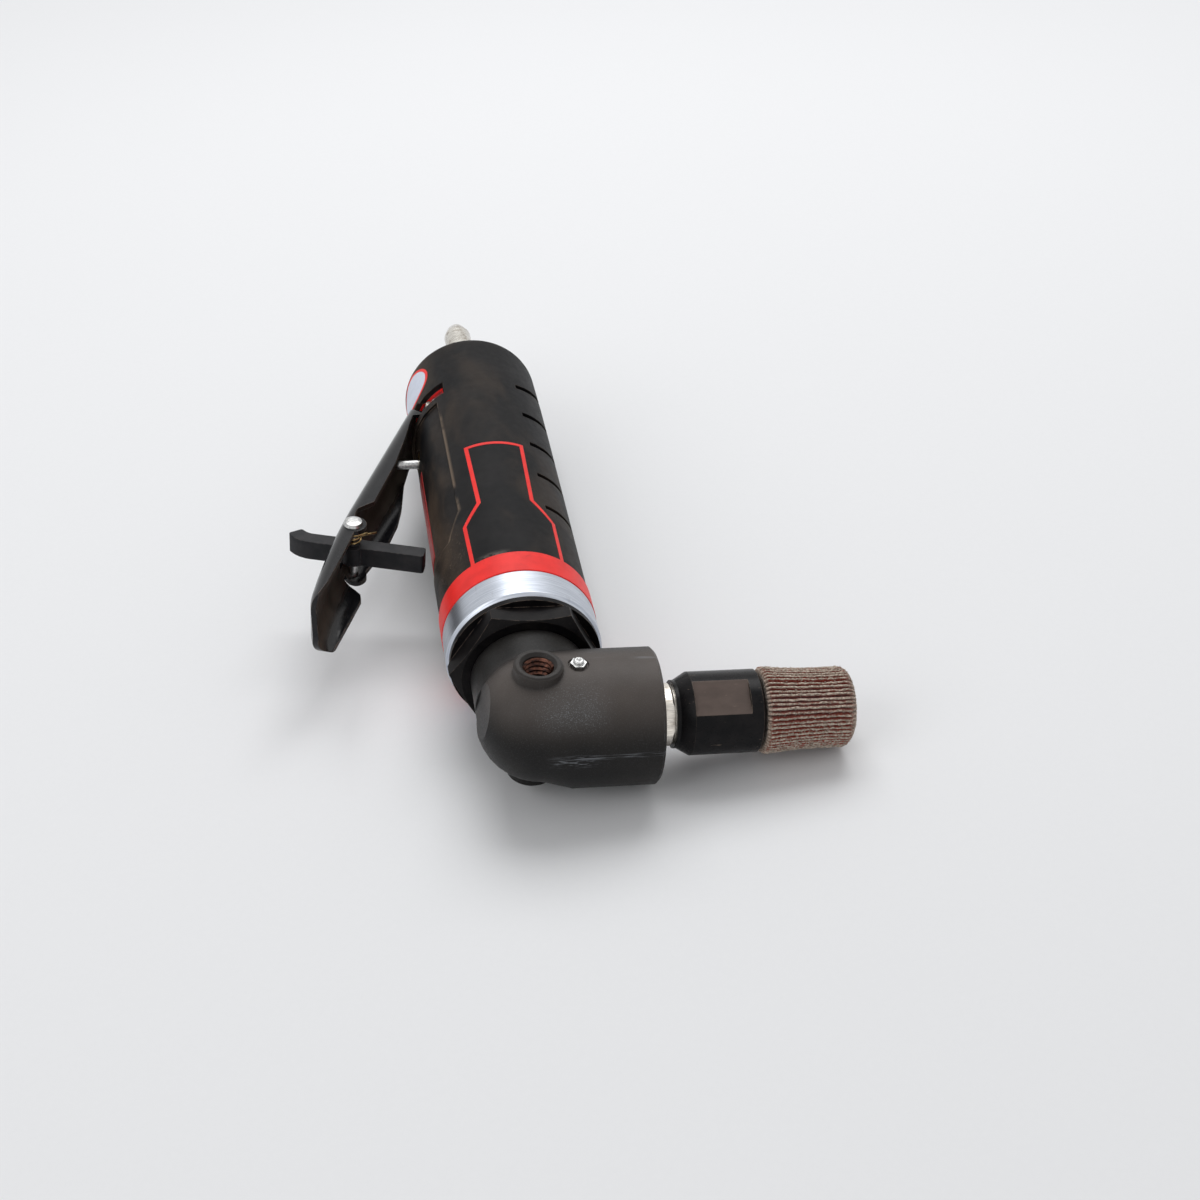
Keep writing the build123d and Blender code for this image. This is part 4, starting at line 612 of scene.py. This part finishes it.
MATERIALS = {
    "black_anodised": black_anodised(),
    "black_oxide": black_oxide(),
    "flats_wear_and_reflection": flats_wear_and_reflection(),
    "black_enamel": black_enamel(),
    "tab_black": tab_black(),
    "bright_steel": steel("bright_steel", srgb(238, 232, 222), srgb(204, 198, 190), 0.3, 0.44,
                          (0.25, 2, 2), 2.2, srgb(158, 148, 136)),
    "zinc": steel("zinc", srgb(206, 206, 204), srgb(164, 165, 166), 0.24, 0.36, scale=2.0),
    "bearing_steel": steel("bearing_steel", srgb(188, 188, 190), srgb(156, 156, 160), 0.26, 0.4),
    "plug_steel": steel("plug_steel", srgb(224, 221, 214), srgb(184, 180, 172), 0.2, 0.34,
                        (0.05, 3, 0.05), 3.0, srgb(120, 104, 84)),
    "spring_wire": steel("spring_wire", srgb(196, 170, 120), srgb(142, 118, 82), 0.26, 0.42, scale=2.0),
    "brass": steel("brass", srgb(208, 176, 104), srgb(168, 138, 76), 0.24, 0.4, scale=2.4),
    "turned_aluminium": turned_aluminium(),
    "red_nylon": red_nylon(),
    "grip_rubber": grip_rubber(),
    "abrasive_cloth": abrasive_cloth(),
    "frayed_thread": frayed_thread(),
    "vane_phenolic": plain_moulded("vane_phenolic", srgb(112, 72, 40), srgb(86, 54, 30), 0.45, 0.65),
    "seat_rubber": plain_moulded("seat_rubber", srgb(30, 30, 31), srgb(44, 43, 43), 0.5, 0.7),
    "black_nylon": plain_moulded("black_nylon", srgb(26, 26, 28), srgb(40, 39, 40), 0.4, 0.6),
    "felt": felt_fibre(),
    "oily_thread": oily_thread(),
    "badge_white": badge_white(),
}

NODE_MATERIALS = {
    "angle_head": "black_anodised",
    "grease_fitting": "zinc",
    "clamp_nut": "black_oxide",
    "neck_snap_ring": "bearing_steel",
    "spindle_gear": "bearing_steel",
    "bevel_pinion": "bearing_steel",
    "pinion_bearing": "bearing_steel",
    "pinion_circlip": "black_oxide",
    "spindle": "bright_steel",
    "spindle_bearing": "bearing_steel",
    "spindle_needle_bearing": "bearing_steel",
    "bearing_retainer": "black_oxide",
    "collet": "bright_steel",
    "collet_nut": "flats_wear_and_reflection",
    "flap_wheel_hub": "bright_steel",
    "flap_wheel_flaps": "abrasive_cloth",
    "motor_housing": "turned_aluminium",
    "front_end_plate": "bearing_steel",
    "rear_end_plate": "bearing_steel",
    "cylinder_liner": "bearing_steel",
    "liner_dowel": "bright_steel",
    "rotor": "bearing_steel",
    "rotor_vanes": "vane_phenolic",
    "front_rotor_bearing": "bearing_steel",
    "rear_rotor_bearing": "bearing_steel",
    "wave_washer": "spring_wire",
    "valve_stem": "zinc",
    "valve_bush": "brass",
    "valve_seat": "seat_rubber",
    "valve_spring": "spring_wire",
    "valve_plug": "brass",
    "inlet_bush": "black_oxide",
    "inlet_screen": "brass",
    "air_plug": "plug_steel",
    "exhaust_ring": "black_nylon",
    "muffler_felt": "felt",
    "red_liner": "red_nylon",
    "grip_sleeve": "grip_rubber",
    "throttle_lever": "black_enamel",
    "lever_pivot_pin": "bright_steel",
    "lockoff_tab": "tab_black",
    "tab_rivet": "zinc",
    "tab_spring": "spring_wire",
}


def dress_nodes():
    """Give each node of the part its material."""
    for name, node in NODES.items():
        node.data.materials.clear()
        node.data.materials.append(MATERIALS[NODE_MATERIALS[name]])


# Mesh helpers

def new_piece(name, points, faces, material, body, slot):
    """Mesh from tool-frame points in millimetres, riding on a body."""
    mesh = bpy.data.meshes.new(name)
    mesh.from_pydata([TOOL @ Vector(point) for point in points], [], faces)
    piece = bpy.data.objects.new(name, mesh)
    bpy.context.scene.collection.objects.link(piece)
    mesh.materials.append(MATERIALS[material])
    work = bmesh.new()
    work.from_mesh(mesh)
    bmesh.ops.remove_doubles(work, verts=work.verts, dist=1e-7)
    bmesh.ops.recalc_face_normals(work, faces=work.faces)
    work.to_mesh(mesh)
    work.free()
    mesh.shade_smooth()
    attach(piece, body)
    return piece


def sharpen(piece, degrees):
    """Crease the edges that bend by more than degrees."""
    piece.data.set_sharp_from_angle(angle=math.radians(degrees))


def row_faces(rows, wide, closed=False):
    """Faces between rows that are wide points long; closed joins the last row to the first."""
    faces = []
    for row in range(rows if closed else rows - 1):
        here = row * wide
        ahead = (row + 1) % rows * wide
        for corner in range(wide):
            beside = (corner + 1) % wide
            faces.append((here + corner, here + beside, ahead + beside, ahead + corner))
    return faces


def end_faces(rows, wide):
    """Caps on the first and the last row."""
    last = (rows - 1) * wide
    return [tuple(range(wide))[::-1], tuple(range(last, last + wide))]


def joined(parts):
    """Points and faces of several meshes as one."""
    points = []
    faces = []
    for part_points, part_faces in parts:
        base = len(points)
        points.extend(part_points)
        faces.extend(tuple(base + corner for corner in face) for face in part_faces)
    return points, faces


def tube(path, radius, sides=12):
    """Points and faces of a capped round tube along a path."""
    points = []
    path = [Vector(point) for point in path]
    normal = None
    for index, point in enumerate(path):
        ahead = path[min(index + 1, len(path) - 1)]
        behind = path[max(index - 1, 0)]
        along = (ahead - behind).normalized()
        if normal is None:
            normal = along.orthogonal().normalized()
        normal = (normal - along * normal.dot(along)).normalized()
        across = along.cross(normal)
        for side in range(sides):
            angle = 2 * math.pi * side / sides
            points.append(point + radius * (math.cos(angle) * normal + math.sin(angle) * across))
    return points, row_faces(len(path), sides) + end_faces(len(path), sides)


def smooth_noise(x, y, z):
    """Smooth random value from -1 to 1 that belongs to a place."""
    return noise.noise(Vector((x, y, z)))


# Flap wheel

def wheel_radius(x):
    """Outer radius of the worn wheel at x."""
    start, end = WHEEL
    middle = (start + end) / 2
    half = (end - WHEEL_ROUND - start - WHEEL_EDGE) / 2
    radius = WHEEL_R - WHEEL_WAIST * max(0.0, 1 - ((x - middle) / half) ** 2)
    if x < start + WHEEL_EDGE:
        radius -= start + WHEEL_EDGE - x
    if x > end - WHEEL_ROUND:
        over = x - end + WHEEL_ROUND
        radius = WHEEL_R - WHEEL_ROUND + math.sqrt(max(0.0, WHEEL_ROUND ** 2 - over ** 2))
    return radius - WHEEL_TAPER * (x - start) / (end - start)


def flap_mesh(index, dice):
    """One abrasive flap: a thick leaf with a frayed, wavy outer edge."""
    lead = 2 * math.pi * index / FLAPS
    start, end = WHEEL
    worn = dice.uniform(-FLAP_WORN, 0.0)
    sway = dice.uniform(-FLAP_SWAY, FLAP_SWAY)
    seed = dice.uniform(0, 100)
    points = []
    for row in range(FLAP_ROWS + 1):
        x = start + FLAP_GAP + (end - start - 2 * FLAP_GAP) * row / FLAP_ROWS
        edge = wheel_radius(x) - FLAP_GAP + worn + FLAP_RIPPLE * smooth_noise(x * 1.7, seed, 0.0)
        for side in (1, -1):
            for reach, thick in FLAP_SECTION[::side]:
                radius = FLAP_ROOT + (edge - FLAP_ROOT) * (reach - FLAP_ROOT) / (WHEEL_R - FLAP_ROOT)
                share = (reach - CORE_R) / (WHEEL_R - CORE_R)
                wave = share * (sway + FLAP_WAVE * smooth_noise(x * 0.55, seed + 7, share))
                fuzz = FLAP_FUZZ * share * smooth_noise(x * 3.1, seed + 20 * side, reach * 2.0)
                offset = side * thick / 2 + wave + fuzz
                angle = lead + FLAP_LEAN * share + offset / max(radius, 1.0)
                points.append((x, radius * math.cos(angle), radius * math.sin(angle)))
    rows = FLAP_ROWS + 1
    wide = 2 * len(FLAP_SECTION)
    return points, row_faces(rows, wide) + end_faces(rows, wide)


def make_flap_wheel():
    """Worn flaps round the core, each a little different."""
    dice = random.Random(11)
    flaps = [flap_mesh(index, dice) for index in range(FLAPS)]
    wheel = new_piece("flap_wheel", *joined(flaps), "abrasive_cloth", "spindle", "abrasive_cloth")
    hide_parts("flap_wheel_flaps")
    sharpen(wheel, 60)


def make_flap_fibres():
    """Fringe of short loose threads along the worn edge of each flap."""
    dice = random.Random(5)
    strands = []
    for flap in range(FLAPS):
        lead = 2 * math.pi * flap / FLAPS + FLAP_LEAN
        for _ in range(FLAP_FIBRES):
            x = dice.uniform(*FIBRE_X)
            radius = wheel_radius(x) - dice.uniform(*FIBRE_ROOT)
            angle = lead + dice.uniform(-FIBRE_SPREAD, FIBRE_SPREAD) / radius
            out = Vector((0, math.cos(angle), math.sin(angle)))
            across = Vector((0, -math.sin(angle), math.cos(angle)))
            root = Vector((x, 0, 0)) + out * radius
            side = Vector((dice.uniform(-1, 1), 0, 0)) + across * dice.uniform(-0.5, 0.5)
            middle = root + out * dice.uniform(*FIBRE_RISE) + side * dice.uniform(*FIBRE_BEND)
            tip = middle + out * dice.uniform(*FIBRE_TIP_RISE) + side * dice.uniform(*FIBRE_TIP_BEND)
            strands.append(tube((root, middle, tip), dice.uniform(*FIBRE_R), FIBRE_SIDES))
    new_piece("flap_fibres", *joined(strands), "frayed_thread", "spindle", "abrasive_cloth")


# Threads of the side holes

def thread_ridge(mouth, floor):
    """Ridge that winds down a hole from its mouth to near its floor."""
    sense = 1 if mouth > floor else -1
    depth = abs(mouth - floor)
    turns = depth / THREAD_PITCH
    steps = int(turns * THREAD_STEPS)
    root = BOSS_HOLE_R + THREAD_BITE
    crest = BOSS_HOLE_R - THREAD_DEPTH
    section = ((root, -THREAD_ROOT), (crest, -THREAD_CREST), (crest, THREAD_CREST), (root, THREAD_ROOT))
    points = []
    for index in range(steps + 1):
        angle = sense * 2 * math.pi * index / THREAD_STEPS
        level = mouth - sense * (THREAD_ROOT + (depth - 2 * THREAD_ROOT) * index / steps)
        for radius, rise in section:
            x = BOSS_AT[0] + radius * math.cos(angle)
            y = BOSS_AT[1] + radius * math.sin(angle)
            points.append((x, y, level + rise))
    rows = steps + 1
    return points, row_faces(rows, len(section)) + end_faces(rows, len(section))


def make_threads():
    """Screw threads in both side holes of the head."""
    upper = thread_ridge(BOSS_TOP - BOSS_MOUTH, BOSS_TOP - BOSS_HOLE_DEPTH)
    lower = thread_ridge(BOSS_FOOT + BOSS_MOUTH, BOSS_FOOT + BOSS_HOLE_DEPTH)
    for name, ridge in (("upper_thread", upper), ("lower_thread", lower)):
        sharpen(new_piece(name, *ridge, "oily_thread", "housing", "bearing_steel"), 30)


# Marks on the grip

def grip_radius(y):
    """Outside of the grip, which tapers a little towards both ends."""
    full, last = SLEEVE_FULL
    if y > last:
        return SLEEVE_R - (SLEEVE_R - SLEEVE_REAR_R) * (y - last) / (SLEEVE_ROUND_Y - last)
    share = min(1.0, max(0.0, (y - BAND_END) / (full - BAND_END)))
    return SLEEVE_FRONT_R + (SLEEVE_R - SLEEVE_FRONT_R) * share


def on_grip(along, y, lift):
    """Point on the grip: along is measured round it from the top, in millimetres."""
    radius = grip_radius(y)
    angle = along / radius
    radius += lift
    return (radius * math.sin(angle), y, radius * math.cos(angle))


def stripe_edges():
    """Both edges of the stripe, mitred at its corners and cut into short steps."""
    corners = [Vector((math.radians(angle) * grip_radius(y), y)) for angle, y in STRIPE_CORNERS]
    left = []
    right = []
    for index, corner in enumerate(corners):
        before = corners[max(index - 1, 0)]
        after = corners[min(index + 1, len(corners) - 1)]
        first = (corner - before).normalized() if index else (after - corner).normalized()
        second = (after - corner).normalized() if index < len(corners) - 1 else first
        across = Vector((-(first + second).y, (first + second).x)).normalized()
        reach = STRIPE_HALF / max(STRIPE_MITRE, across.dot(Vector((-first.y, first.x))))
        left.append(corner + across * reach)
        right.append(corner - across * reach)
    rows = []
    for index in range(len(corners) - 1):
        count = max(2, int((corners[index + 1] - corners[index]).length / STRIPE_STEP))
        for step in range(count):
            share = step / count
            left_place = left[index].lerp(left[index + 1], share)
            right_place = right[index].lerp(right[index + 1], share)
            rows.append((left_place, right_place))
    rows.append((left[-1], right[-1]))
    return rows


def make_stripe():
    """Red outline on the grip, let into it a little."""
    edges = stripe_edges()
    points = []
    for left, right in edges:
        points.append(on_grip(left.x, left.y, STRIPE_FOOT))
        points.append(on_grip(left.x, left.y, STRIPE_TOP))
        points.append(on_grip(right.x, right.y, STRIPE_TOP))
        points.append(on_grip(right.x, right.y, STRIPE_FOOT))
    faces = row_faces(len(edges), 4) + end_faces(len(edges), 4)
    sharpen(new_piece("grip_stripe", points, faces, "red_nylon", "housing", "red_nylon"), 40)


def disc_rows(inner, outer, lift):
    """Ring or disc wrapped on the grip behind the lever slot."""
    points = []
    for ring in range(BADGE_RINGS + 1):
        reach = inner + (outer - inner) * ring / BADGE_RINGS
        for step in range(BADGE_STEPS):
            turn = 2 * math.pi * step / BADGE_STEPS
            angle = math.radians(BADGE_TURN) + reach * math.cos(turn) / SLEEVE_R
            y = BADGE_Y + reach * math.sin(turn)
            radius = grip_radius(y) + lift
            points.append((radius * math.sin(angle), y, radius * math.cos(angle)))
    return points, row_faces(BADGE_RINGS + 1, BADGE_STEPS)


def make_badge():
    """Plain disc with a coloured rim."""
    face = disc_rows(BADGE_MIDDLE, BADGE_R - BADGE_RIM, BADGE_FACE_TOP)
    rim = disc_rows(BADGE_R - BADGE_RIM, BADGE_R, BADGE_RIM_TOP)
    new_piece("badge_face", *face, "badge_white", "housing", "red_nylon")
    new_piece("badge_rim", *rim, "red_nylon", "housing", "red_nylon")


# Springs

def make_tab_spring():
    """Torsion winding round the rivet of the lock-off tab."""
    sweep = 2 * math.pi * SPRING_TURNS
    coil = []
    for index in range(SPRING_STEPS + 1):
        angle = sweep * index / SPRING_STEPS
        rise = SPRING_PITCH * SPRING_TURNS * index / SPRING_STEPS
        coil.append(Vector((SPRING_R * math.cos(angle), SPRING_R * math.sin(angle), rise)))
    enter = Vector((0, 1, 0))
    leave = Vector((-math.sin(sweep), math.cos(sweep), 0))
    long_leg = [coil[0] - enter * reach for reach in SPRING_LONG_LEG]
    short_leg = [coil[-1] + leave * reach for reach in SPRING_SHORT_LEG]
    turn = math.radians(SPRING_LEG_ANGLE + 90 - FRONT_ANGLE)
    pivot = Matrix.Translation(TAB_SPRING_AT) @ Matrix.Rotation(turn, 4, "Z")
    wire = tube([pivot @ point for point in long_leg + coil + short_leg], SPRING_WIRE_R)
    piece = new_piece("tab_spring_wire", *wire, "spring_wire", "lever", "spring_wire")
    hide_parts("tab_spring")


def make_valve_spring():
    """Return spring behind the throttle valve, which shortens as the stem goes in; here it is drawn at
    rest, on a mesh of its own.
    """
    low, high = VALVE_SPRING
    path = []
    for index in range(VALVE_STEPS + 1):
        angle = 2 * math.pi * VALVE_TURNS * index / VALVE_STEPS
        x = low + (high - low) * index / VALVE_STEPS
        path.append((x, VALVE_Y + VALVE_COIL_R * math.sin(angle), VALVE_COIL_R * math.cos(angle)))
    wire = tube(path, VALVE_WIRE_R)
    piece = new_piece("valve_spring_wire", *wire, "spring_wire", "housing", "spring_wire")
    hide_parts("valve_spring")
    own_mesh(piece)


# Muffler felt

def make_felt():
    """Felt ring with a matted surface."""
    inner, middle, outer = FELT_R
    low, high = FELT_Y
    half = (low + high) / 2
    top = high - FELT_MAT
    section = ((inner, low), (middle, low), (outer, low), (outer, half),
               (outer, top), (middle, top), (inner, top), (inner, half))
    points = []
    for step in range(FELT_STEPS):
        angle = 2 * math.pi * step / FELT_STEPS
        for radius, y in section:
            matted = radius - FELT_MAT + FELT_MAT * smooth_noise(radius, y * 2, step * 0.9)
            level = y - FELT_RIPPLE + FELT_RIPPLE * smooth_noise(step, radius * 3, y)
            points.append((matted * math.sin(angle), level, matted * math.cos(angle)))
    faces = row_faces(FELT_STEPS, len(section), closed=True)
    piece = new_piece("felt_ring", points, faces, "felt", "housing", "felt")
    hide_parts("muffler_felt")


# Stage, light and camera

def seen_share(tree):
    """One for rays from the camera and for those that mirror or pass on the background."""
    path = tree.nodes.new("ShaderNodeLightPath")
    share = path.outputs["Is Camera Ray"]
    for name in ("Is Glossy Ray", "Is Transmission Ray"):
        most = tree.nodes.new("ShaderNodeMath")
        most.operation = "MAXIMUM"
        tree.links.new(share, most.inputs[0])
        tree.links.new(path.outputs[name], most.inputs[1])
        share = most.outputs[0]
    return share


def make_floor():
    """Pale floor whose far part shows its own colour, so that it stays even out to the horizon."""
    s = Shader("floor")
    color = s.mix(s.noise(0.8, 2), srgb(*FLOOR_COLOR), srgb(*FLOOR_SHADE))
    material = s.finish(color, 0.7, specular=0.1)
    reach = s.add("ShaderNodeVectorMath")
    reach.operation = "LENGTH"
    s.link(s.point, reach.inputs[0])
    glow = s.add("ShaderNodeEmission")
    glow.inputs["Color"].default_value = srgb(*FLOOR_COLOR)
    blend = s.add("ShaderNodeMixShader")
    far = s.step(reach.outputs["Value"], *FLOOR_GLOW_MM)
    s.link(s.times(far, seen_share(s.tree)), blend.inputs[0])
    s.link(s.bsdf.outputs[0], blend.inputs[1])
    s.link(glow.outputs[0], blend.inputs[2])
    s.link(blend.outputs[0], s.tree.nodes["Material Output"].inputs["Surface"])
    mesh = bpy.data.meshes.new("floor")
    half = FLOOR_HALF
    corners = [(-half, -half, 0), (half, -half, 0), (half, half, 0), (-half, half, 0)]
    mesh.from_pydata(corners, [], [(0, 1, 2, 3)])
    floor = bpy.data.objects.new("floor", mesh)
    mesh.materials.append(material)
    bpy.context.scene.collection.objects.link(floor)


def make_light(name, place, size, power):
    """Area lamp that is aimed at the part."""
    lamp = bpy.data.lights.new(name, "AREA")
    lamp.shape = "RECTANGLE"
    lamp.size, lamp.size_y = size
    lamp.energy = power
    light = bpy.data.objects.new(name, lamp)
    light.location = place
    light.rotation_euler = (Vector(LAMP_TARGET) - Vector(place)).to_track_quat("-Z", "Y").to_euler()
    bpy.context.scene.collection.objects.link(light)


def make_world():
    """White surroundings: dim light that grows towards the zenith, brighter where they are seen."""
    world = bpy.data.worlds.new("studio")
    bpy.context.scene.world = world
    world.use_nodes = True
    tree = world.node_tree
    back = tree.nodes["Background"]
    coordinates = tree.nodes.new("ShaderNodeTexCoord")
    split = tree.nodes.new("ShaderNodeSeparateXYZ")
    tree.links.new(coordinates.outputs["Generated"], split.inputs[0])
    rise = tree.nodes.new("ShaderNodeMapRange")
    rise.inputs["From Min"].default_value = WORLD_RISE[0]
    rise.inputs["From Max"].default_value = WORLD_RISE[1]
    rise.inputs["To Min"].default_value = WORLD_LIGHT[0]
    rise.inputs["To Max"].default_value = WORLD_LIGHT[1]
    tree.links.new(split.outputs["Z"], rise.inputs["Value"])
    seen = tree.nodes.new("ShaderNodeMix")
    tree.links.new(seen_share(tree), seen.inputs["Factor"])
    tree.links.new(rise.outputs["Result"], seen.inputs[2])
    seen.inputs[3].default_value = WORLD_SEEN
    tree.links.new(seen.outputs[0], back.inputs["Strength"])
    back.inputs["Color"].default_value = (1, 1, 1, 1)


def make_camera():
    """Camera that sees the tool as the photo does."""
    data = bpy.data.cameras.new("camera")
    data.lens = CAMERA_LENS
    data.sensor_width = CAMERA_SENSOR
    data.clip_start = 0.01
    data.clip_end = 20.0
    camera = bpy.data.objects.new("camera", data)
    look = Euler([math.radians(angle) for angle in CAMERA_TURN], "XYZ").to_matrix()
    spot = TOOL @ Vector(CAMERA_AT)
    camera.matrix_world = Matrix.Translation(spot) @ (TURN @ look).to_4x4()
    bpy.context.scene.collection.objects.link(camera)
    bpy.context.scene.camera = camera


dress_nodes()
make_flap_wheel()
make_flap_fibres()
make_threads()
make_stripe()
make_badge()
make_tab_spring()
make_valve_spring()
make_felt()
make_floor()
make_world()
make_light("key", KEY_AT, KEY_SIZE, KEY_POWER)
make_light("fill", FILL_AT, FILL_SIZE, FILL_POWER)
make_camera()
bpy.context.scene.view_settings.view_transform = "Standard"
